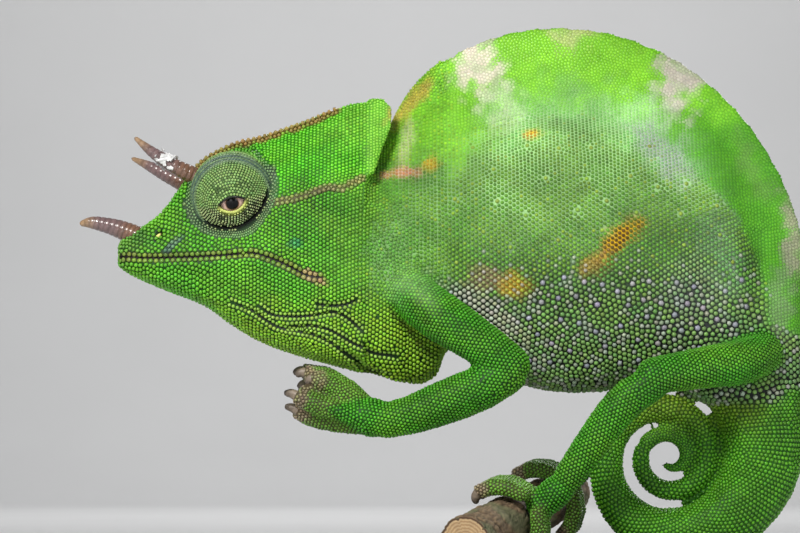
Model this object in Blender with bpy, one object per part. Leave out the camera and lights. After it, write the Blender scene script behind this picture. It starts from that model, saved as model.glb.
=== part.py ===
"""Usambara three-horned chameleon: an adult male at life size, still, on a short perch and a display stand.

The animal faces -X with its left side towards -Y, and +Z is up. The origin is the centre of the
base's underside. Sizes are in millimetres and angles in degrees; MM turns them into metres.
"""

import math

import bmesh
import bpy
import numpy as np

MM = 0.001
GAP = 0.3

# Head carriage: the crown leans away from the left side, and the lean fades out along the neck.
LEAN = 13.0
LEAN_AXIS_Z = 68.3
LEAN_FULL_X = -25.6
LEAN_NONE_X = -13.5

# Head, snout to nape. Heights: chin, mouth, crest line, crown edge, crown. Half widths: throat, jaw,
# cheek, crest line, crown edge.
HEAD_COLUMNS = "x chin mouth crest edge crown throat jaw cheek crest_w edge_w".split()
HEAD_ROWS = np.array([
    (-72.2, 62.5, 64.0, 65.6, 66.7, 66.9, 0.8, 1.5, 1.6, 1.3, 0.7),
    (-70.5, 61.3, 63.8, 66.3, 67.8, 68.1, 1.6, 2.7, 2.8, 2.3, 1.2),
    (-68.0, 60.1, 63.3, 67.5, 69.3, 69.7, 2.2, 3.4, 3.5, 2.9, 1.7),
    (-64.5, 58.6, 62.7, 69.2, 71.9, 72.3, 2.8, 4.3, 4.3, 3.6, 2.3),
    (-61.5, 57.4, 62.5, 72.0, 76.1, 76.6, 3.2, 5.1, 5.0, 4.3, 2.9),
    (-59.0, 56.4, 62.4, 74.8, 79.8, 80.4, 3.5, 5.6, 5.5, 4.8, 3.3),
    (-56.5, 55.3, 62.3, 77.0, 82.2, 82.8, 3.8, 6.1, 5.9, 5.2, 3.5),
    (-51.5, 51.5, 62.4, 79.0, 84.7, 85.2, 4.3, 7.1, 6.6, 5.6, 3.5),
    (-46.0, 48.2, 61.7, 75.5, 86.2, 86.5, 4.6, 7.9, 8.3, 8.2, 3.7),
    (-40.0, 46.0, 59.4, 73.2, 88.4, 88.0, 4.8, 8.5, 9.6, 9.8, 4.2),
    (-34.0, 44.3, 57.6, 74.6, 90.6, 89.3, 5.0, 8.8, 10.1, 10.0, 5.2),
    (-27.6, 42.6, 56.5, 76.5, 92.5, 90.0, 5.4, 8.8, 9.6, 9.0, 6.3),
])
HEAD_STATIONS = 22
LIP = 0.55
MOUTH_DEPTH = 0.55
MOUTH_CORNER_X = -35.6
MOUTH_FADE = 2.5
NOSTRIL = (-64.4, 4.4, 67.4)
NOSTRIL_RADIUS = 0.65

# Eye turret: a dome whose lid opening looks along GAZE, here for the left side.
TURRET = (-51.6, -4.5, 75.0)
TURRET_RADIUS = 7.56
TURRET_SWELL = 0.45
TURRET_INNER_Y = -1.2
GAZE = (0.046, -0.826, -0.562)
LID_LENGTH = 4.4
LID_HEIGHT = 2.3
LID_TILT = 12.0
LID_RIM = 0.35
EYEBALL_RADIUS = 3.0
EYEBALL_DEPTH = 0.55

# Occipital lobes: at each height, how far the free edge reaches along X, and the plate's place across.
LOBE_ROOT_X = -27.3
LOBE_HEIGHTS = (76.8, 79.5, 82.5, 86.5, 90.0, 92.3)
LOBE_EDGE_X = (-26.2, -25.4, -24.5, -23.2, -22.9, -24.6)
LOBE_Y = (8.6, 8.4, 8.0, 7.3, 6.6, 6.2)
LOBE_THICKNESS = 1.3

# Horns: centreline and radius, root to tip. The right one is a little longer than the left.
ROSTRAL_HORN = (
    (-67.6, 0.0, 67.4, 1.90),
    (-70.2, 0.0, 68.7, 1.80),
    (-74.4, -0.3, 70.1, 1.40),
    (-77.5, -0.4, 70.6, 1.00),
    (-79.3, -0.4, 70.4, 0.40),
)
LEFT_HORN = (
    (-57.6, -3.3, 78.2, 1.50),
    (-59.9, -3.9, 78.9, 1.55),
    (-63.0, -4.9, 80.3, 1.30),
    (-66.2, -6.0, 82.2, 0.95),
    (-69.2, -7.1, 84.5, 0.32),
)
RIGHT_HORN = (
    (-57.6, 3.3, 78.2, 1.50),
    (-59.9, 3.9, 79.0, 1.55),
    (-63.6, 4.9, 81.0, 1.30),
    (-67.4, 5.9, 83.4, 0.95),
    (-71.0, 6.8, 85.4, 0.32),
)
HORN_RING = 0.05
HORN_RINGS = 9

# Neck: stations along X with the heights of throat and nape, then half widths at fractions of the height.
NECK_LEVELS = (0.0, 0.04, 0.1, 0.18, 0.28, 0.38, 0.5, 0.62, 0.72, 0.8, 0.88, 0.95, 1.0)
NECK_X = (-27.3, -24.5, -21.6, -18.5, -15.8, -14.4, -13.15)
THROAT_Z = (42.7, 41.7, 41.0, 41.1, 42.0, 43.8, 48.4)
NAPE_Z = (85.0, 87.5, 93.5, 97.2, 99.6, 100.5, 101.4)
NECK_FRONT_W = (0.0, 3.2, 5.2, 7.0, 8.3, 9.0, 9.4, 9.0, 7.6, 6.2, 4.4, 2.6, 0.5)
NECK_MIDDLE_W = (0.0, 2.6, 4.2, 6.2, 7.8, 8.8, 9.0, 7.7, 6.0, 4.6, 3.2, 2.0, 0.5)
NECK_MIDDLE_X = -20.0

# Torso: a flat, nearly round body. The outline is a radius at each angle round its centre.
TORSO = (7.2, 63.8)
TORSO_FRONT_X = -12.85
TORSO_TAIL_Z = 38.2
OUTLINE_ANGLES = (
    -90, -69, -55, -49.5, -47, -45, -42, -35, -29.4, -15, 0, 12, 25, 45, 92, 115, 138, 150, 165, 185, 205,
    217, 233, 252, 270,
)
OUTLINE_RADII = (
    23.8, 25.2, 27.8, 29.6, 32.4, 36.5, 48, 53.5, 51.3, 46.2, 44.6, 43.6, 42.8, 42.3, 42.6, 42.3, 41, 46, 52,
    52, 38, 25.3, 24.2, 23.6, 23.8,
)
FLANK = (9.0, 64.7, 34.5, 25.6, 12.3)
NAPE = (-20.0, 78.0, 24.0, 18.0, 6.5)
PELVIS = (40.0, 42.0, 17.0, 26.0, 7.6)
EDGE_ROUNDING = 8
THINNEST = 0.3

# Dorsal sail: the thin band of back between the flank and the outline, from the rump to the nape.
SAIL_START = -18.0
SAIL_END = 129.0
SAIL_ANGLES = (-20, -13.7, 0, 12.9, 29.7, 53, 74, 98, 120, 140, 149)
SAIL_ROOT_RADII = (38.6, 38.0, 35.1, 32.3, 29.0, 27.0, 26.2, 26.3, 28.0, 30.4, 34.7)
SAIL_ROOT_HALF = 3.4
SAIL_EDGE_HALF = 1.2
SCALLOP = 0.35
SCALLOP_PITCH = 6.2

# Tail: down from the rump, then a flat spiral. Spiral rows: angle turned, distance from its centre, half width.
SPIRAL = (26.64, 28.5)
TAIL_ROOT = ((43.0, 40.0, 9.6), (43.0, 37.9, 9.2), (43.1, 35.6, 8.2), (43.4, 33.0, 7.5))
SPIRAL_ROWS = np.array([
    (0, 16.56, 7.45),
    (45, 15.1, 6.1),
    (90, 13.9, 4.85),
    (135, 12.6, 3.6),
    (180, 11.2, 2.95),
    (225, 10.0, 2.7),
    (270, 8.8, 2.5),
    (315, 7.65, 2.3),
    (360, 6.5, 2.05),
    (450, 6.0, 1.85),
    (540, 5.1, 1.6),
    (630, 4.0, 1.4),
    (720, 2.9, 1.15),
    (850, 1.45, 0.5),
])
TAIL_CUTS = (0.16, 0.33, 0.49, 0.62, 0.74, 0.87)
TAIL_FLATTENING = 0.87
TAIL_MOST_HALF = 6.4

# Left arm, held forward with the hand open in the air: centrelines with radii.
UPPER_ARM = (
    (-20.5, -9.0, 58.2, 3.9),
    (-16.5, -12.2, 54.4, 4.5),
    (-12.0, -14.0, 51.3, 4.3),
    (-6.8, -14.8, 47.8, 3.9),
    (-2.4, -15.0, 44.4, 3.7),
)
FOREARM = (
    (-2.8, -15.0, 42.8, 3.5),
    (-7.2, -14.6, 40.6, 4.0),
    (-14.6, -13.5, 37.7, 3.9),
    (-20.7, -12.5, 35.5, 3.4),
    (-24.2, -11.8, 34.8, 3.2),
)
HAND = (
    (-23.4, -11.9, 34.9, 3.1),
    (-26.6, -11.0, 35.4, 3.6),
    (-29.2, -10.6, 36.2, 3.0),
)
OUTER_FINGERS = (
    ((-28.2, -12.4, 35.1), (-33.0, -12.5, 36.7), (-37.4, -12.0, 38.1), (-39.6, -11.6, 39.1), (-42.8, -11.0, 39.8)),
    ((-28.4, -10.2, 33.8), (-33.6, -9.6, 34.6), (-37.8, -9.0, 35.7), (-39.4, -9.0, 36.5), (-42.6, -9.0, 37.5)),
)
INNER_FINGERS = (
    ((-27.6, -10.5, 37.3), (-31.6, -11.0, 40.0), (-34.6, -11.1, 41.7), (-36.9, -11.0, 42.3), (-38.7, -11.0, 40.8)),
    ((-27.4, -8.8, 37.6), (-31.3, -8.6, 41.0), (-35.2, -8.4, 42.9), (-38.2, -8.4, 43.3), (-41.0, -8.4, 42.6)),
    ((-27.8, -8.2, 36.2), (-31.6, -6.6, 38.9), (-35.0, -6.2, 40.6), (-37.6, -6.1, 41.0), (-40.0, -6.2, 40.0)),
)
FINGER_RADIUS = 1.75
CLAW_RADIUS = 0.92
CLAW_TIP = 0.2

# The right arm mirrors the left, spread a little away from this point so that the two don't line up exactly.
SPREAD_FROM = (-21.6, 27.8)
SPREAD = 0.058

# Perch: a short straight length of branch across the animal, held by both hind feet.
PERCH_AT = (-0.2, 0.0, 18.05)
PERCH_ALONG = (0.335, 0.933, 0.129)
PERCH_RADIUS = 4.9
PERCH_LENGTH = 62.0

# Hind legs. Foot: place along the perch, and the angles round it that each bundle of toes spans.
LEFT_THIGH = (
    (43.0, -4.2, 47.2, 4.2),
    (39.3, -8.6, 45.4, 4.1),
    (30.9, -12.5, 44.0, 3.7),
    (22.6, -14.5, 42.6, 3.3),
)
LEFT_SHIN = (
    (22.8, -14.5, 41.6, 3.1),
    (18.4, -14.2, 38.8, 3.4),
    (12.4, -13.0, 31.6, 3.1),
    (7.6, -11.6, 24.6, 2.7),
)
LEFT_FOOT = ((7.9, -11.6, 24.6, 2.6), (4.6, -10.4, 21.4, 2.9), (2.9, -9.8, 20.0, 2.7))
RIGHT_THIGH = (
    (43.0, 4.2, 47.8, 4.2),
    (40.0, 8.6, 46.4, 4.1),
    (33.0, 12.5, 45.4, 3.7),
    (25.2, 14.5, 44.0, 3.3),
)
RIGHT_SHIN = (
    (25.4, 14.5, 43.0, 3.1),
    (20.8, 14.3, 40.2, 3.4),
    (16.2, 13.2, 33.8, 3.1),
    (12.2, 12.4, 28.4, 2.7),
)
RIGHT_FOOT = ((12.5, 12.4, 28.4, 2.6), (10.5, 12.1, 26.0, 2.9), (9.2, 11.8, 24.4, 2.7))
LEFT_GRIP = -9.7
RIGHT_GRIP = 12.6
TOE_RADIUS = 1.6
TOE_PITCH = 2.2
OVER_TOES = (3, 54.0, 128.0)
UNDER_TOES = (2, 16.0, -60.0)
CLAW_SWEEP = 24.0

# Stand.
BASE_LENGTH = 84.0
BASE_WIDTH = 58.0
BASE_THICKNESS = 5.0
BASE_CORNER = 9.0
BASE_BEVEL = 0.8
ROD_RADIUS = 2.5

COLOURS = {
    "skin": (0.13, 0.36, 0.07),
    "flank": (0.22, 0.42, 0.12),
    "sail": (0.30, 0.60, 0.12),
    "horn": (0.19, 0.11, 0.10),
    "eye": (0.03, 0.02, 0.02),
    "bark": (0.10, 0.07, 0.04),
    "stand": (0.02, 0.02, 0.02),
    "steel": (0.45, 0.45, 0.46),
}


def clear_scene():
    for obj in list(bpy.data.objects):
        bpy.data.objects.remove(obj)


def material(name):
    """The Principled material of this name, made at its first use."""
    found = bpy.data.materials.get(name)
    if found:
        return found
    made = bpy.data.materials.new(name)
    made.use_nodes = True
    shader = made.node_tree.nodes["Principled BSDF"]
    shader.inputs["Base Color"].default_value = (*COLOURS[name], 1.0)
    shader.inputs["Roughness"].default_value = 0.3 if name in ("eye", "steel") else 0.6
    shader.inputs["Metallic"].default_value = 1.0 if name == "steel" else 0.0
    return made


def smooth(xs, ys, x):
    """A cubic curve through the points (xs, ys) that doesn't overshoot them, read at x."""
    xs = np.asarray(xs, float)
    ys = np.asarray(ys, float)
    x = np.clip(x, xs[0], xs[-1])
    step = np.diff(xs)
    slope = np.diff(ys) / step
    tangent = np.zeros(len(xs))
    before, after = slope[:-1], slope[1:]
    same_sign = before * after > 0
    total = np.where(same_sign, before + after, 1.0)
    tangent[1:-1] = np.where(same_sign, 2 * before * after / total, 0.0)
    tangent[0] = slope[0]
    tangent[-1] = slope[-1]
    span = np.clip(np.searchsorted(xs, x, side="right") - 1, 0, len(step) - 1)
    return hermite(ys, tangent, step, span, (x - xs[span]) / step[span])


def hermite(values, tangent, step, span, t):
    """The cubic between values[span] and values[span + 1], at t from 0 to 1."""
    rise = t * t * (3 - 2 * t)
    leave = t * (1 - t) ** 2 * step[span] * tangent[span]
    arrive = t * t * (t - 1) * step[span] * tangent[span + 1]
    return values[span] * (1 - rise) + values[span + 1] * rise + leave + arrive


def resample(rows, count):
    """A smooth curve through the rows (x, y, z and any more columns), as count rows evenly spaced along it."""
    rows = np.asarray(rows, float)
    chord = np.concatenate([[0.0], np.cumsum(np.linalg.norm(np.diff(rows[:, :3], axis=0), axis=1))])
    tangent = np.gradient(rows, chord, axis=0)
    step = np.diff(chord)[:, None]

    def at(place):
        span = np.clip(np.searchsorted(chord, place, side="right") - 1, 0, len(step) - 1)
        return hermite(rows, tangent, step, span, ((place - chord[span]) / step[span, 0])[:, None])

    fine = np.linspace(0, chord[-1], 20 * count)
    points = at(fine)[:, :3]
    length = np.concatenate([[0.0], np.cumsum(np.linalg.norm(np.diff(points, axis=0), axis=1))])
    return at(np.interp(np.linspace(0, length[-1], count), length, fine))


def lean(points):
    """Turns points of the upright head and neck to the way the animal carries them."""
    points = np.array(points, float)
    fade = np.clip((LEAN_NONE_X - points[..., 0]) / (LEAN_NONE_X - LEAN_FULL_X), 0, 1)
    angle = np.radians(LEAN) * fade * fade * (3 - 2 * fade)
    across = points[..., 1].copy()
    above = points[..., 2] - LEAN_AXIS_Z
    points[..., 1] = across * np.cos(angle) + above * np.sin(angle)
    points[..., 2] = above * np.cos(angle) - across * np.sin(angle) + LEAN_AXIS_Z
    return points


def make_object(name, points, faces, look):
    """A mesh object from points in millimetres, with its faces turned outward."""
    mesh = bpy.data.meshes.new(name)
    mesh.from_pydata((np.asarray(points) * MM).tolist(), [], faces)
    made = bmesh.new()
    made.from_mesh(mesh)
    bmesh.ops.recalc_face_normals(made, faces=made.faces)
    bmesh.ops.triangulate(made, faces=made.faces)
    made.to_mesh(mesh)
    made.free()
    mesh.shade_smooth()
    mesh.materials.append(material(look))
    obj = bpy.data.objects.new(name, mesh)
    bpy.context.scene.collection.objects.link(obj)
    return obj


def loft(name, rings, look):
    """A closed body through rings of equally many points, with a fan of faces over each end."""
    rings = np.asarray(rings, float)
    count, around = rings.shape[:2]
    faces = []
    for i in range(count - 1):
        for j in range(around):
            k = (j + 1) % around
            faces.append((i * around + j, i * around + k, (i + 1) * around + k, (i + 1) * around + j))
    points = np.concatenate([rings.reshape(-1, 3), rings[:1].mean(axis=1), rings[-1:].mean(axis=1)])
    first, last = count * around, (count - 1) * around
    for j in range(around):
        k = (j + 1) % around
        faces.append((first, k, j))
        faces.append((first + 1, last + j, last + k))
    return make_object(name, points, faces, look)


def tube_rings(rows, sides, across=(0, 1, 0), grow=0.0, round_ends=True, along=None):
    """Rings round a centreline. Each row is x, y, z, half width and, where it differs, half thickness across."""
    rows = np.asarray(rows, float)
    along = np.gradient(rows[:, :3], axis=0) if along is None else along
    along /= np.linalg.norm(along, axis=1)[:, None]
    across = np.asarray(across, float) - along * (along @ np.asarray(across, float))[:, None]
    across /= np.linalg.norm(across, axis=1)[:, None]
    upward = np.cross(along, across)
    wide = rows[:, 3] + grow
    thick = rows[:, -1] + grow
    centres = rows[:, :3]
    order = [(i, 0.0) for i in range(len(rows))]
    if round_ends:
        order = [(0, -64), (0, -30)] + order + [(-1, 30), (-1, 64)]
    turns = np.arange(sides) * 2 * np.pi / sides
    rings = []
    for i, bend in order:
        shrink = math.cos(math.radians(bend))
        centre = centres[i] + along[i] * math.sin(math.radians(bend)) * min(wide[i], thick[i])
        rings.append(
            centre
            + np.outer(np.cos(turns), upward[i]) * wide[i] * shrink
            + np.outer(np.sin(turns), across[i]) * thick[i] * shrink
        )
    return np.array(rings)


def limb(name, rows, look="skin", grow=0.0, sides=10, count=6):
    return loft(name, tube_rings(resample(rows, count), sides, grow=grow), look)


def keep_largest(obj):
    """Drops every closed surface of the object but the largest, such as a scrap or a sealed hollow."""
    made = bmesh.new()
    made.from_mesh(obj.data)
    made.verts.ensure_lookup_table()
    left = set(made.verts)
    shells = []
    while left:
        shell = {left.pop()}
        front = list(shell)
        while front:
            vertex = front.pop()
            for edge in vertex.link_edges:
                other = edge.other_vert(vertex)
                if other not in shell:
                    shell.add(other)
                    front.append(other)
        left -= shell
        shells.append(shell)
    largest = max(shells, key=lambda shell: sum(face.calc_area() for vertex in shell for face in vertex.link_faces))
    spare = [vertex for vertex in made.verts if vertex not in largest]
    bmesh.ops.delete(made, geom=spare, context="VERTS")
    made.to_mesh(obj.data)
    made.free()


def bake(obj):
    """Applies the object's modifiers and keeps its largest closed surface."""
    graph = bpy.context.evaluated_depsgraph_get()
    obj.data = bpy.data.meshes.new_from_object(obj.evaluated_get(graph))
    obj.modifiers.clear()
    keep_largest(obj)


def cut(obj, *cutters):
    """Takes the cutters out of the object and removes them."""
    for cutter in cutters:
        modifier = obj.modifiers.new("cut", "BOOLEAN")
        modifier.operation = "DIFFERENCE"
        modifier.object = cutter
    bake(obj)
    for cutter in cutters:
        bpy.data.objects.remove(cutter)
    return obj


def fuse(name, pieces, look="skin"):
    """One body from pieces that overlap."""
    group = bpy.data.collections.new(name)
    obj = pieces[0]
    for piece in pieces[1:]:
        bpy.context.scene.collection.objects.unlink(piece)
        group.objects.link(piece)
    modifier = obj.modifiers.new("union", "BOOLEAN")
    modifier.operation = "UNION"
    modifier.operand_type = "COLLECTION"
    modifier.collection = group
    bpy.context.scene.collection.children.link(group)
    bake(obj)
    for piece in list(group.objects):
        bpy.data.objects.remove(piece)
    bpy.data.collections.remove(group)
    obj.name = name
    obj.data.materials.clear()
    obj.data.materials.append(material(look))
    return obj


def both_sides(half):
    """A closed ring from points (half width, height) that run up one side, first and last on the middle line."""
    half = np.asarray(half, float)
    other = half[-2:0:-1] * (-1, 1)
    return np.concatenate([half, other])


def head_ring(x, grow=0.0):
    row = {name: smooth(HEAD_ROWS[:, 0], HEAD_ROWS[:, i], x) for i, name in enumerate(HEAD_COLUMNS)}
    jaw, mouth, chin = row["jaw"], row["mouth"], row["chin"]
    notch = MOUTH_DEPTH * np.clip((MOUTH_CORNER_X + MOUTH_FADE - x) / MOUTH_FADE, 0, 1)
    notch *= min(1.0, jaw / 4)
    temple_w = 0.62 * row["crest_w"] + 0.42 * row["edge_w"]
    temple_z = 0.5 * (row["crest"] + row["edge"])
    levels = np.array([
        (0.0, chin),
        (row["throat"], chin + 0.14 * (mouth - chin)),
        (0.5 * row["throat"] + 0.46 * jaw, chin + 0.45 * (mouth - chin)),
        (jaw * 0.96, mouth - 3 * LIP * min(1.0, jaw / 4)),
        (jaw, mouth - LIP),
        (jaw - notch, mouth),
        (jaw + 0.1, mouth + LIP),
        (row["cheek"], mouth + 0.45 * (row["crest"] - mouth)),
        (row["crest_w"], row["crest"]),
        (temple_w, temple_z),
        (row["edge_w"], row["edge"]),
        (0.0, row["crown"]),
    ])
    middle = np.array([0.0, 0.5 * (chin + row["crown"])])
    outward = levels - middle
    outward /= np.linalg.norm(outward, axis=1)[:, None]
    levels = levels + grow * outward
    mirror = np.array([-1.0, 1.0])
    wrapped = np.concatenate([[levels[1] * mirror], levels, [levels[-2] * mirror]])
    places = np.arange(len(wrapped))
    tangent = np.gradient(wrapped, axis=0)
    fine_spans = (0, 1, 2, 7, 8, 9, 10)
    half = []
    for span in range(len(levels) - 1):
        parts = 2 if span in fine_spans else 1
        for part in range(parts):
            at = np.array([part / parts])
            index = np.array([span + 1])
            half.append(hermite(wrapped, tangent, np.ones((len(places), 1)), index, at[:, None])[0])
    half.append(levels[-1])
    half[0][0] = half[-1][0] = 0.0
    ring = both_sides(half)
    return np.column_stack([np.full(len(ring), x), ring])


def head_body(grow=0.0):
    start, end = HEAD_ROWS[0, 0] - grow, HEAD_ROWS[-1, 0] + grow
    stations = np.linspace(0, 1, HEAD_STATIONS) ** 1.25 * (end - start) + start
    return loft("head", lean([head_ring(x, grow) for x in stations]), "skin")


def mirrored(points, side):
    """Points of the left side, or their mirror images where side is 1."""
    points = np.array(points, float)
    points[..., 1] *= -side
    return points


def gaze_frame():
    """Unit vectors along the left eye's gaze, along its lid opening and across it."""
    gaze = np.array(GAZE) / np.linalg.norm(GAZE)
    along = np.cross(gaze, (0, 0, 1))
    along /= np.linalg.norm(along)
    along *= np.sign(along[0])
    across = np.cross(gaze, along)
    across *= np.sign(across[2])
    tilt = math.radians(LID_TILT)
    return gaze, along * math.cos(tilt) + across * math.sin(tilt), across * math.cos(tilt) - along * math.sin(tilt)


def dome(name, side, radius, inner_y, detailed):
    """The turret's dome, cut flat towards the head's middle. A detailed one has a raised rim round the lids."""
    gaze, along, across = gaze_frame()
    angles = [4, 8, 12, 16, 22, 30, 40, 54, 70, 90, 115, 150]
    turns = np.radians(np.arange(22) * 360 / 22)
    rings = []
    for angle in angles:
        theta = math.radians(angle)
        sideways = np.outer(np.cos(turns), along) + np.outer(np.sin(turns), across)
        outward = math.cos(theta) * gaze + math.sin(theta) * sideways
        reach = radius
        if detailed:
            swell = TURRET_SWELL * math.exp(-((angle / 26) ** 2))
            spot = radius * math.sin(theta)
            oval = np.hypot(spot * np.cos(turns) / LID_LENGTH * 2, spot * np.sin(turns) / LID_HEIGHT * 2)
            rim = LID_RIM * np.exp(-(((oval - 1.35) / 0.4) ** 2))
            reach = (radius + swell + rim)[:, None]
        rings.append(np.array(TURRET) + outward * reach)
    obj = loft(name, lean(mirrored(rings, side)), "skin")
    box = [(x, y, z) for x in (-64, -40) for y in (inner_y, 14) for z in (60, 90)]
    sides = [(0, 1, 3, 2), (4, 5, 7, 6), (0, 1, 5, 4), (2, 3, 7, 6), (0, 2, 6, 4), (1, 3, 7, 5)]
    return cut(obj, make_object("inner", lean(mirrored(box, side)), sides, "skin"))


def ball(name, centre, radius, look, sides=12, rings=8):
    turns = np.arange(sides) * 2 * np.pi / sides
    tilts = np.radians(np.linspace(8, 172, rings))
    shape = [
        [(math.sin(t) * math.cos(a), math.cos(t), math.sin(t) * math.sin(a)) for a in turns] for t in tilts
    ]
    return loft(name, np.array(shape) * radius + np.asarray(centre), look)


def lid_slot(side):
    """An almond-shaped plug along the gaze, which opens the lids down to the eyeball."""
    gaze, along, across = gaze_frame()
    half = np.linspace(-1, 1, 11)
    upper = [(0.5 * LID_LENGTH * u, 0.5 * LID_HEIGHT * (1 - u * u)) for u in half]
    lower = [(u, -v) for u, v in upper[-2:0:-1]]
    outline = np.array(upper + lower)
    flat = np.outer(outline[:, 0], along) + np.outer(outline[:, 1], across)
    depths = (TURRET_RADIUS - EYEBALL_RADIUS, TURRET_RADIUS + 2)
    rings = [np.array(TURRET) + flat + gaze * depth for depth in depths]
    return loft("slot", lean(mirrored(rings, side)), "skin")


def eye_parts(side, word):
    """One turret with its lids open, and the eyeball behind them."""
    gaze = gaze_frame()[0]
    inside = TURRET_RADIUS + TURRET_SWELL - EYEBALL_DEPTH - EYEBALL_RADIUS
    centre = lean(mirrored(np.array(TURRET) + gaze * inside, side))
    turret = dome("eye_turret_" + word, side, TURRET_RADIUS, TURRET_INNER_Y, True)
    cut(turret, ball("socket", centre, EYEBALL_RADIUS + GAP, "skin"), lid_slot(side))
    ball("eyeball_" + word, centre, EYEBALL_RADIUS, "eye")


def horn(name, rows, head_cutters):
    rows = resample(rows, 2 * HORN_RINGS + 1)
    wave = 1 + HORN_RING * np.sin(np.linspace(0, HORN_RINGS * 2 * np.pi, len(rows)))
    rows[:, 3] *= wave
    rows[:, :3] = lean(rows[:, :3])
    obj = loft(name, tube_rings(rows, 10, round_ends=False), "horn")
    return cut(obj, *head_cutters)


def lobe(side, word):
    """A thin flap behind the crown that stands clear of the neck."""
    rings = []
    for height in np.linspace(LOBE_HEIGHTS[0], LOBE_HEIGHTS[-1], 9):
        edge = smooth(LOBE_HEIGHTS, LOBE_EDGE_X, height)
        place = smooth(LOBE_HEIGHTS, LOBE_Y, height)
        reach = np.linspace(0, 1, 5)
        x = LOBE_ROOT_X + (edge - LOBE_ROOT_X) * reach
        half = 0.5 * LOBE_THICKNESS * (1 - 0.45 * reach**2)
        outer = [(a, -(place + b), height) for a, b in zip(x, half)]
        inner = [(a, -(place - b), height) for a, b in zip(x[::-1], half[::-1])]
        rings.append(outer + inner)
    return loft("occipital_lobe_" + word, lean(mirrored(rings, side)), "skin")


def head_parts():
    head = head_body()
    cutters = []
    for side in (-1, 1):
        cutters.append(dome("turret_room", -side, TURRET_RADIUS + GAP, TURRET_INNER_Y + GAP, False))
        place = lean((NOSTRIL[0], side * NOSTRIL[1], NOSTRIL[2]))
        cutters.append(ball("nostril", place, NOSTRIL_RADIUS, "skin", sides=10, rings=6))
    cut(head, *cutters)
    for side, word in ((-1, "left"), (1, "right")):
        eye_parts(side, word)
        lobe(side, word)
    horn("rostral_horn", ROSTRAL_HORN, [head_body(GAP)])
    for side, word, rows in ((-1, "left", LEFT_HORN), (1, "right", RIGHT_HORN)):
        room = dome("turret_room", side, TURRET_RADIUS + 2 * GAP, TURRET_INNER_Y, False)
        horn("preocular_horn_" + word, rows, [head_body(GAP), room])


def outline_radius(angle):
    wave = np.abs(np.sin(np.radians(angle) * 180 / SCALLOP_PITCH))
    on_sail = np.clip((angle - SAIL_START) / 6, 0, 1) * np.clip((SAIL_END + 14 - angle) / 6, 0, 1)
    return smooth(OUTLINE_ANGLES, OUTLINE_RADII, angle) + SCALLOP * (wave - 0.5) * on_sail


def sail_root(angle):
    return smooth(SAIL_ANGLES, SAIL_ROOT_RADII, angle)


def swelling(x, z, lump):
    """How thick an elliptical swelling is at a place: centre, half length, half height, half thickness."""
    at_x, at_z, length, height, thick = lump
    return thick * np.sqrt(np.maximum(0, 1 - ((x - at_x) / length) ** 2 - ((z - at_z) / height) ** 2))


def body_half(x, z):
    """Half thickness of the body at a place in side view."""
    angle = np.degrees(np.arctan2(z - TORSO[1], x - TORSO[0]))
    angle = np.where(angle < -90, angle + 360, angle)
    radius = np.hypot(x - TORSO[0], z - TORSO[1])
    edge = outline_radius(angle)
    root = sail_root(angle)
    rise = np.clip((radius - root) / np.maximum(edge - root, 1), 0, 1)
    sail = SAIL_EDGE_HALF + (SAIL_ROOT_HALF - SAIL_EDGE_HALF) * (1 - rise) ** 1.5
    parts = [swelling(x, z, lump) for lump in (FLANK, NAPE, PELVIS)] + [sail]
    whole = sum(part**3 for part in parts) ** (1 / 3)
    within = np.clip(radius / edge, 0, 1)
    return np.maximum(whole * np.sqrt(1 - within**EDGE_ROUNDING), THINNEST)


def body_point(angle, radius):
    return TORSO[0] + radius * np.cos(np.radians(angle)), TORSO[1] + radius * np.sin(np.radians(angle))


def reach_limit(angle):
    """How far from the centre the torso may reach before the planes that part it from neck and tail."""
    level, rise = math.cos(math.radians(angle)), math.sin(math.radians(angle))
    limit = math.inf
    if level < 0:
        limit = (TORSO_FRONT_X - TORSO[0]) / level
    if rise < 0 and level > 0.5:
        limit = min(limit, (TORSO_TAIL_Z - TORSO[1]) / rise)
    return limit


def torso_radii(angle):
    """Distances from the centre to the torso's rings: an even inner part, then out to its own edge."""
    whole = min(outline_radius(angle), reach_limit(angle))
    inner = min(whole, sail_root(angle) - 0.5 * GAP)
    edge = inner if SAIL_START < angle < SAIL_END else whole
    start = inner * 0.86
    return [inner * 0.28, inner * 0.56, start, start + (edge - start) * 0.6, start + (edge - start) * 0.9, edge]


def torso_body(grow=0.0):
    step = 0.01
    angles = list(np.arange(-88.0, 270, 6))
    angles += [-51, -49, -47, -46, -45, -43, -29.5, 217, 219]
    for end in (SAIL_START, SAIL_END):
        angles = [angle for angle in angles if abs(angle - end) > 1.5] + [end - step, end + step]
    angles = sorted(angles)
    spokes = []
    for angle in angles:
        radii = np.array(torso_radii(angle))
        half = body_half(*body_point(angle, radii)) + grow
        x, z = body_point(angle, radii + grow * radii / radii[-1])
        spokes.append(np.column_stack([x, half, z]))
    near = np.array(spokes).transpose(1, 0, 2)
    far = near[::-1] * (1, -1, 1)
    return loft("torso", lean(np.concatenate([near, far])), "flank")


def sail():
    """The band of back above the flank, thin at its scalloped edge."""
    inset = math.degrees(GAP / 35)
    steps = int((SAIL_END - SAIL_START) / SCALLOP_PITCH * 3)
    rings = []
    for angle in np.linspace(SAIL_START + inset, SAIL_END - inset, steps):
        inner = sail_root(angle) + 0.5 * GAP
        outer = max(min(outline_radius(angle), reach_limit(angle)), inner + 0.6)
        radii = inner + (outer - inner) * np.array([0, 0.6, 1])
        x, z = body_point(angle, radii)
        half = body_half(x, z)
        near = np.column_stack([x, half, z])
        rings.append(np.concatenate([near, near[::-1] * (1, -1, 1)]))
    return loft("dorsal_sail", lean(rings), "sail")


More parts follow.
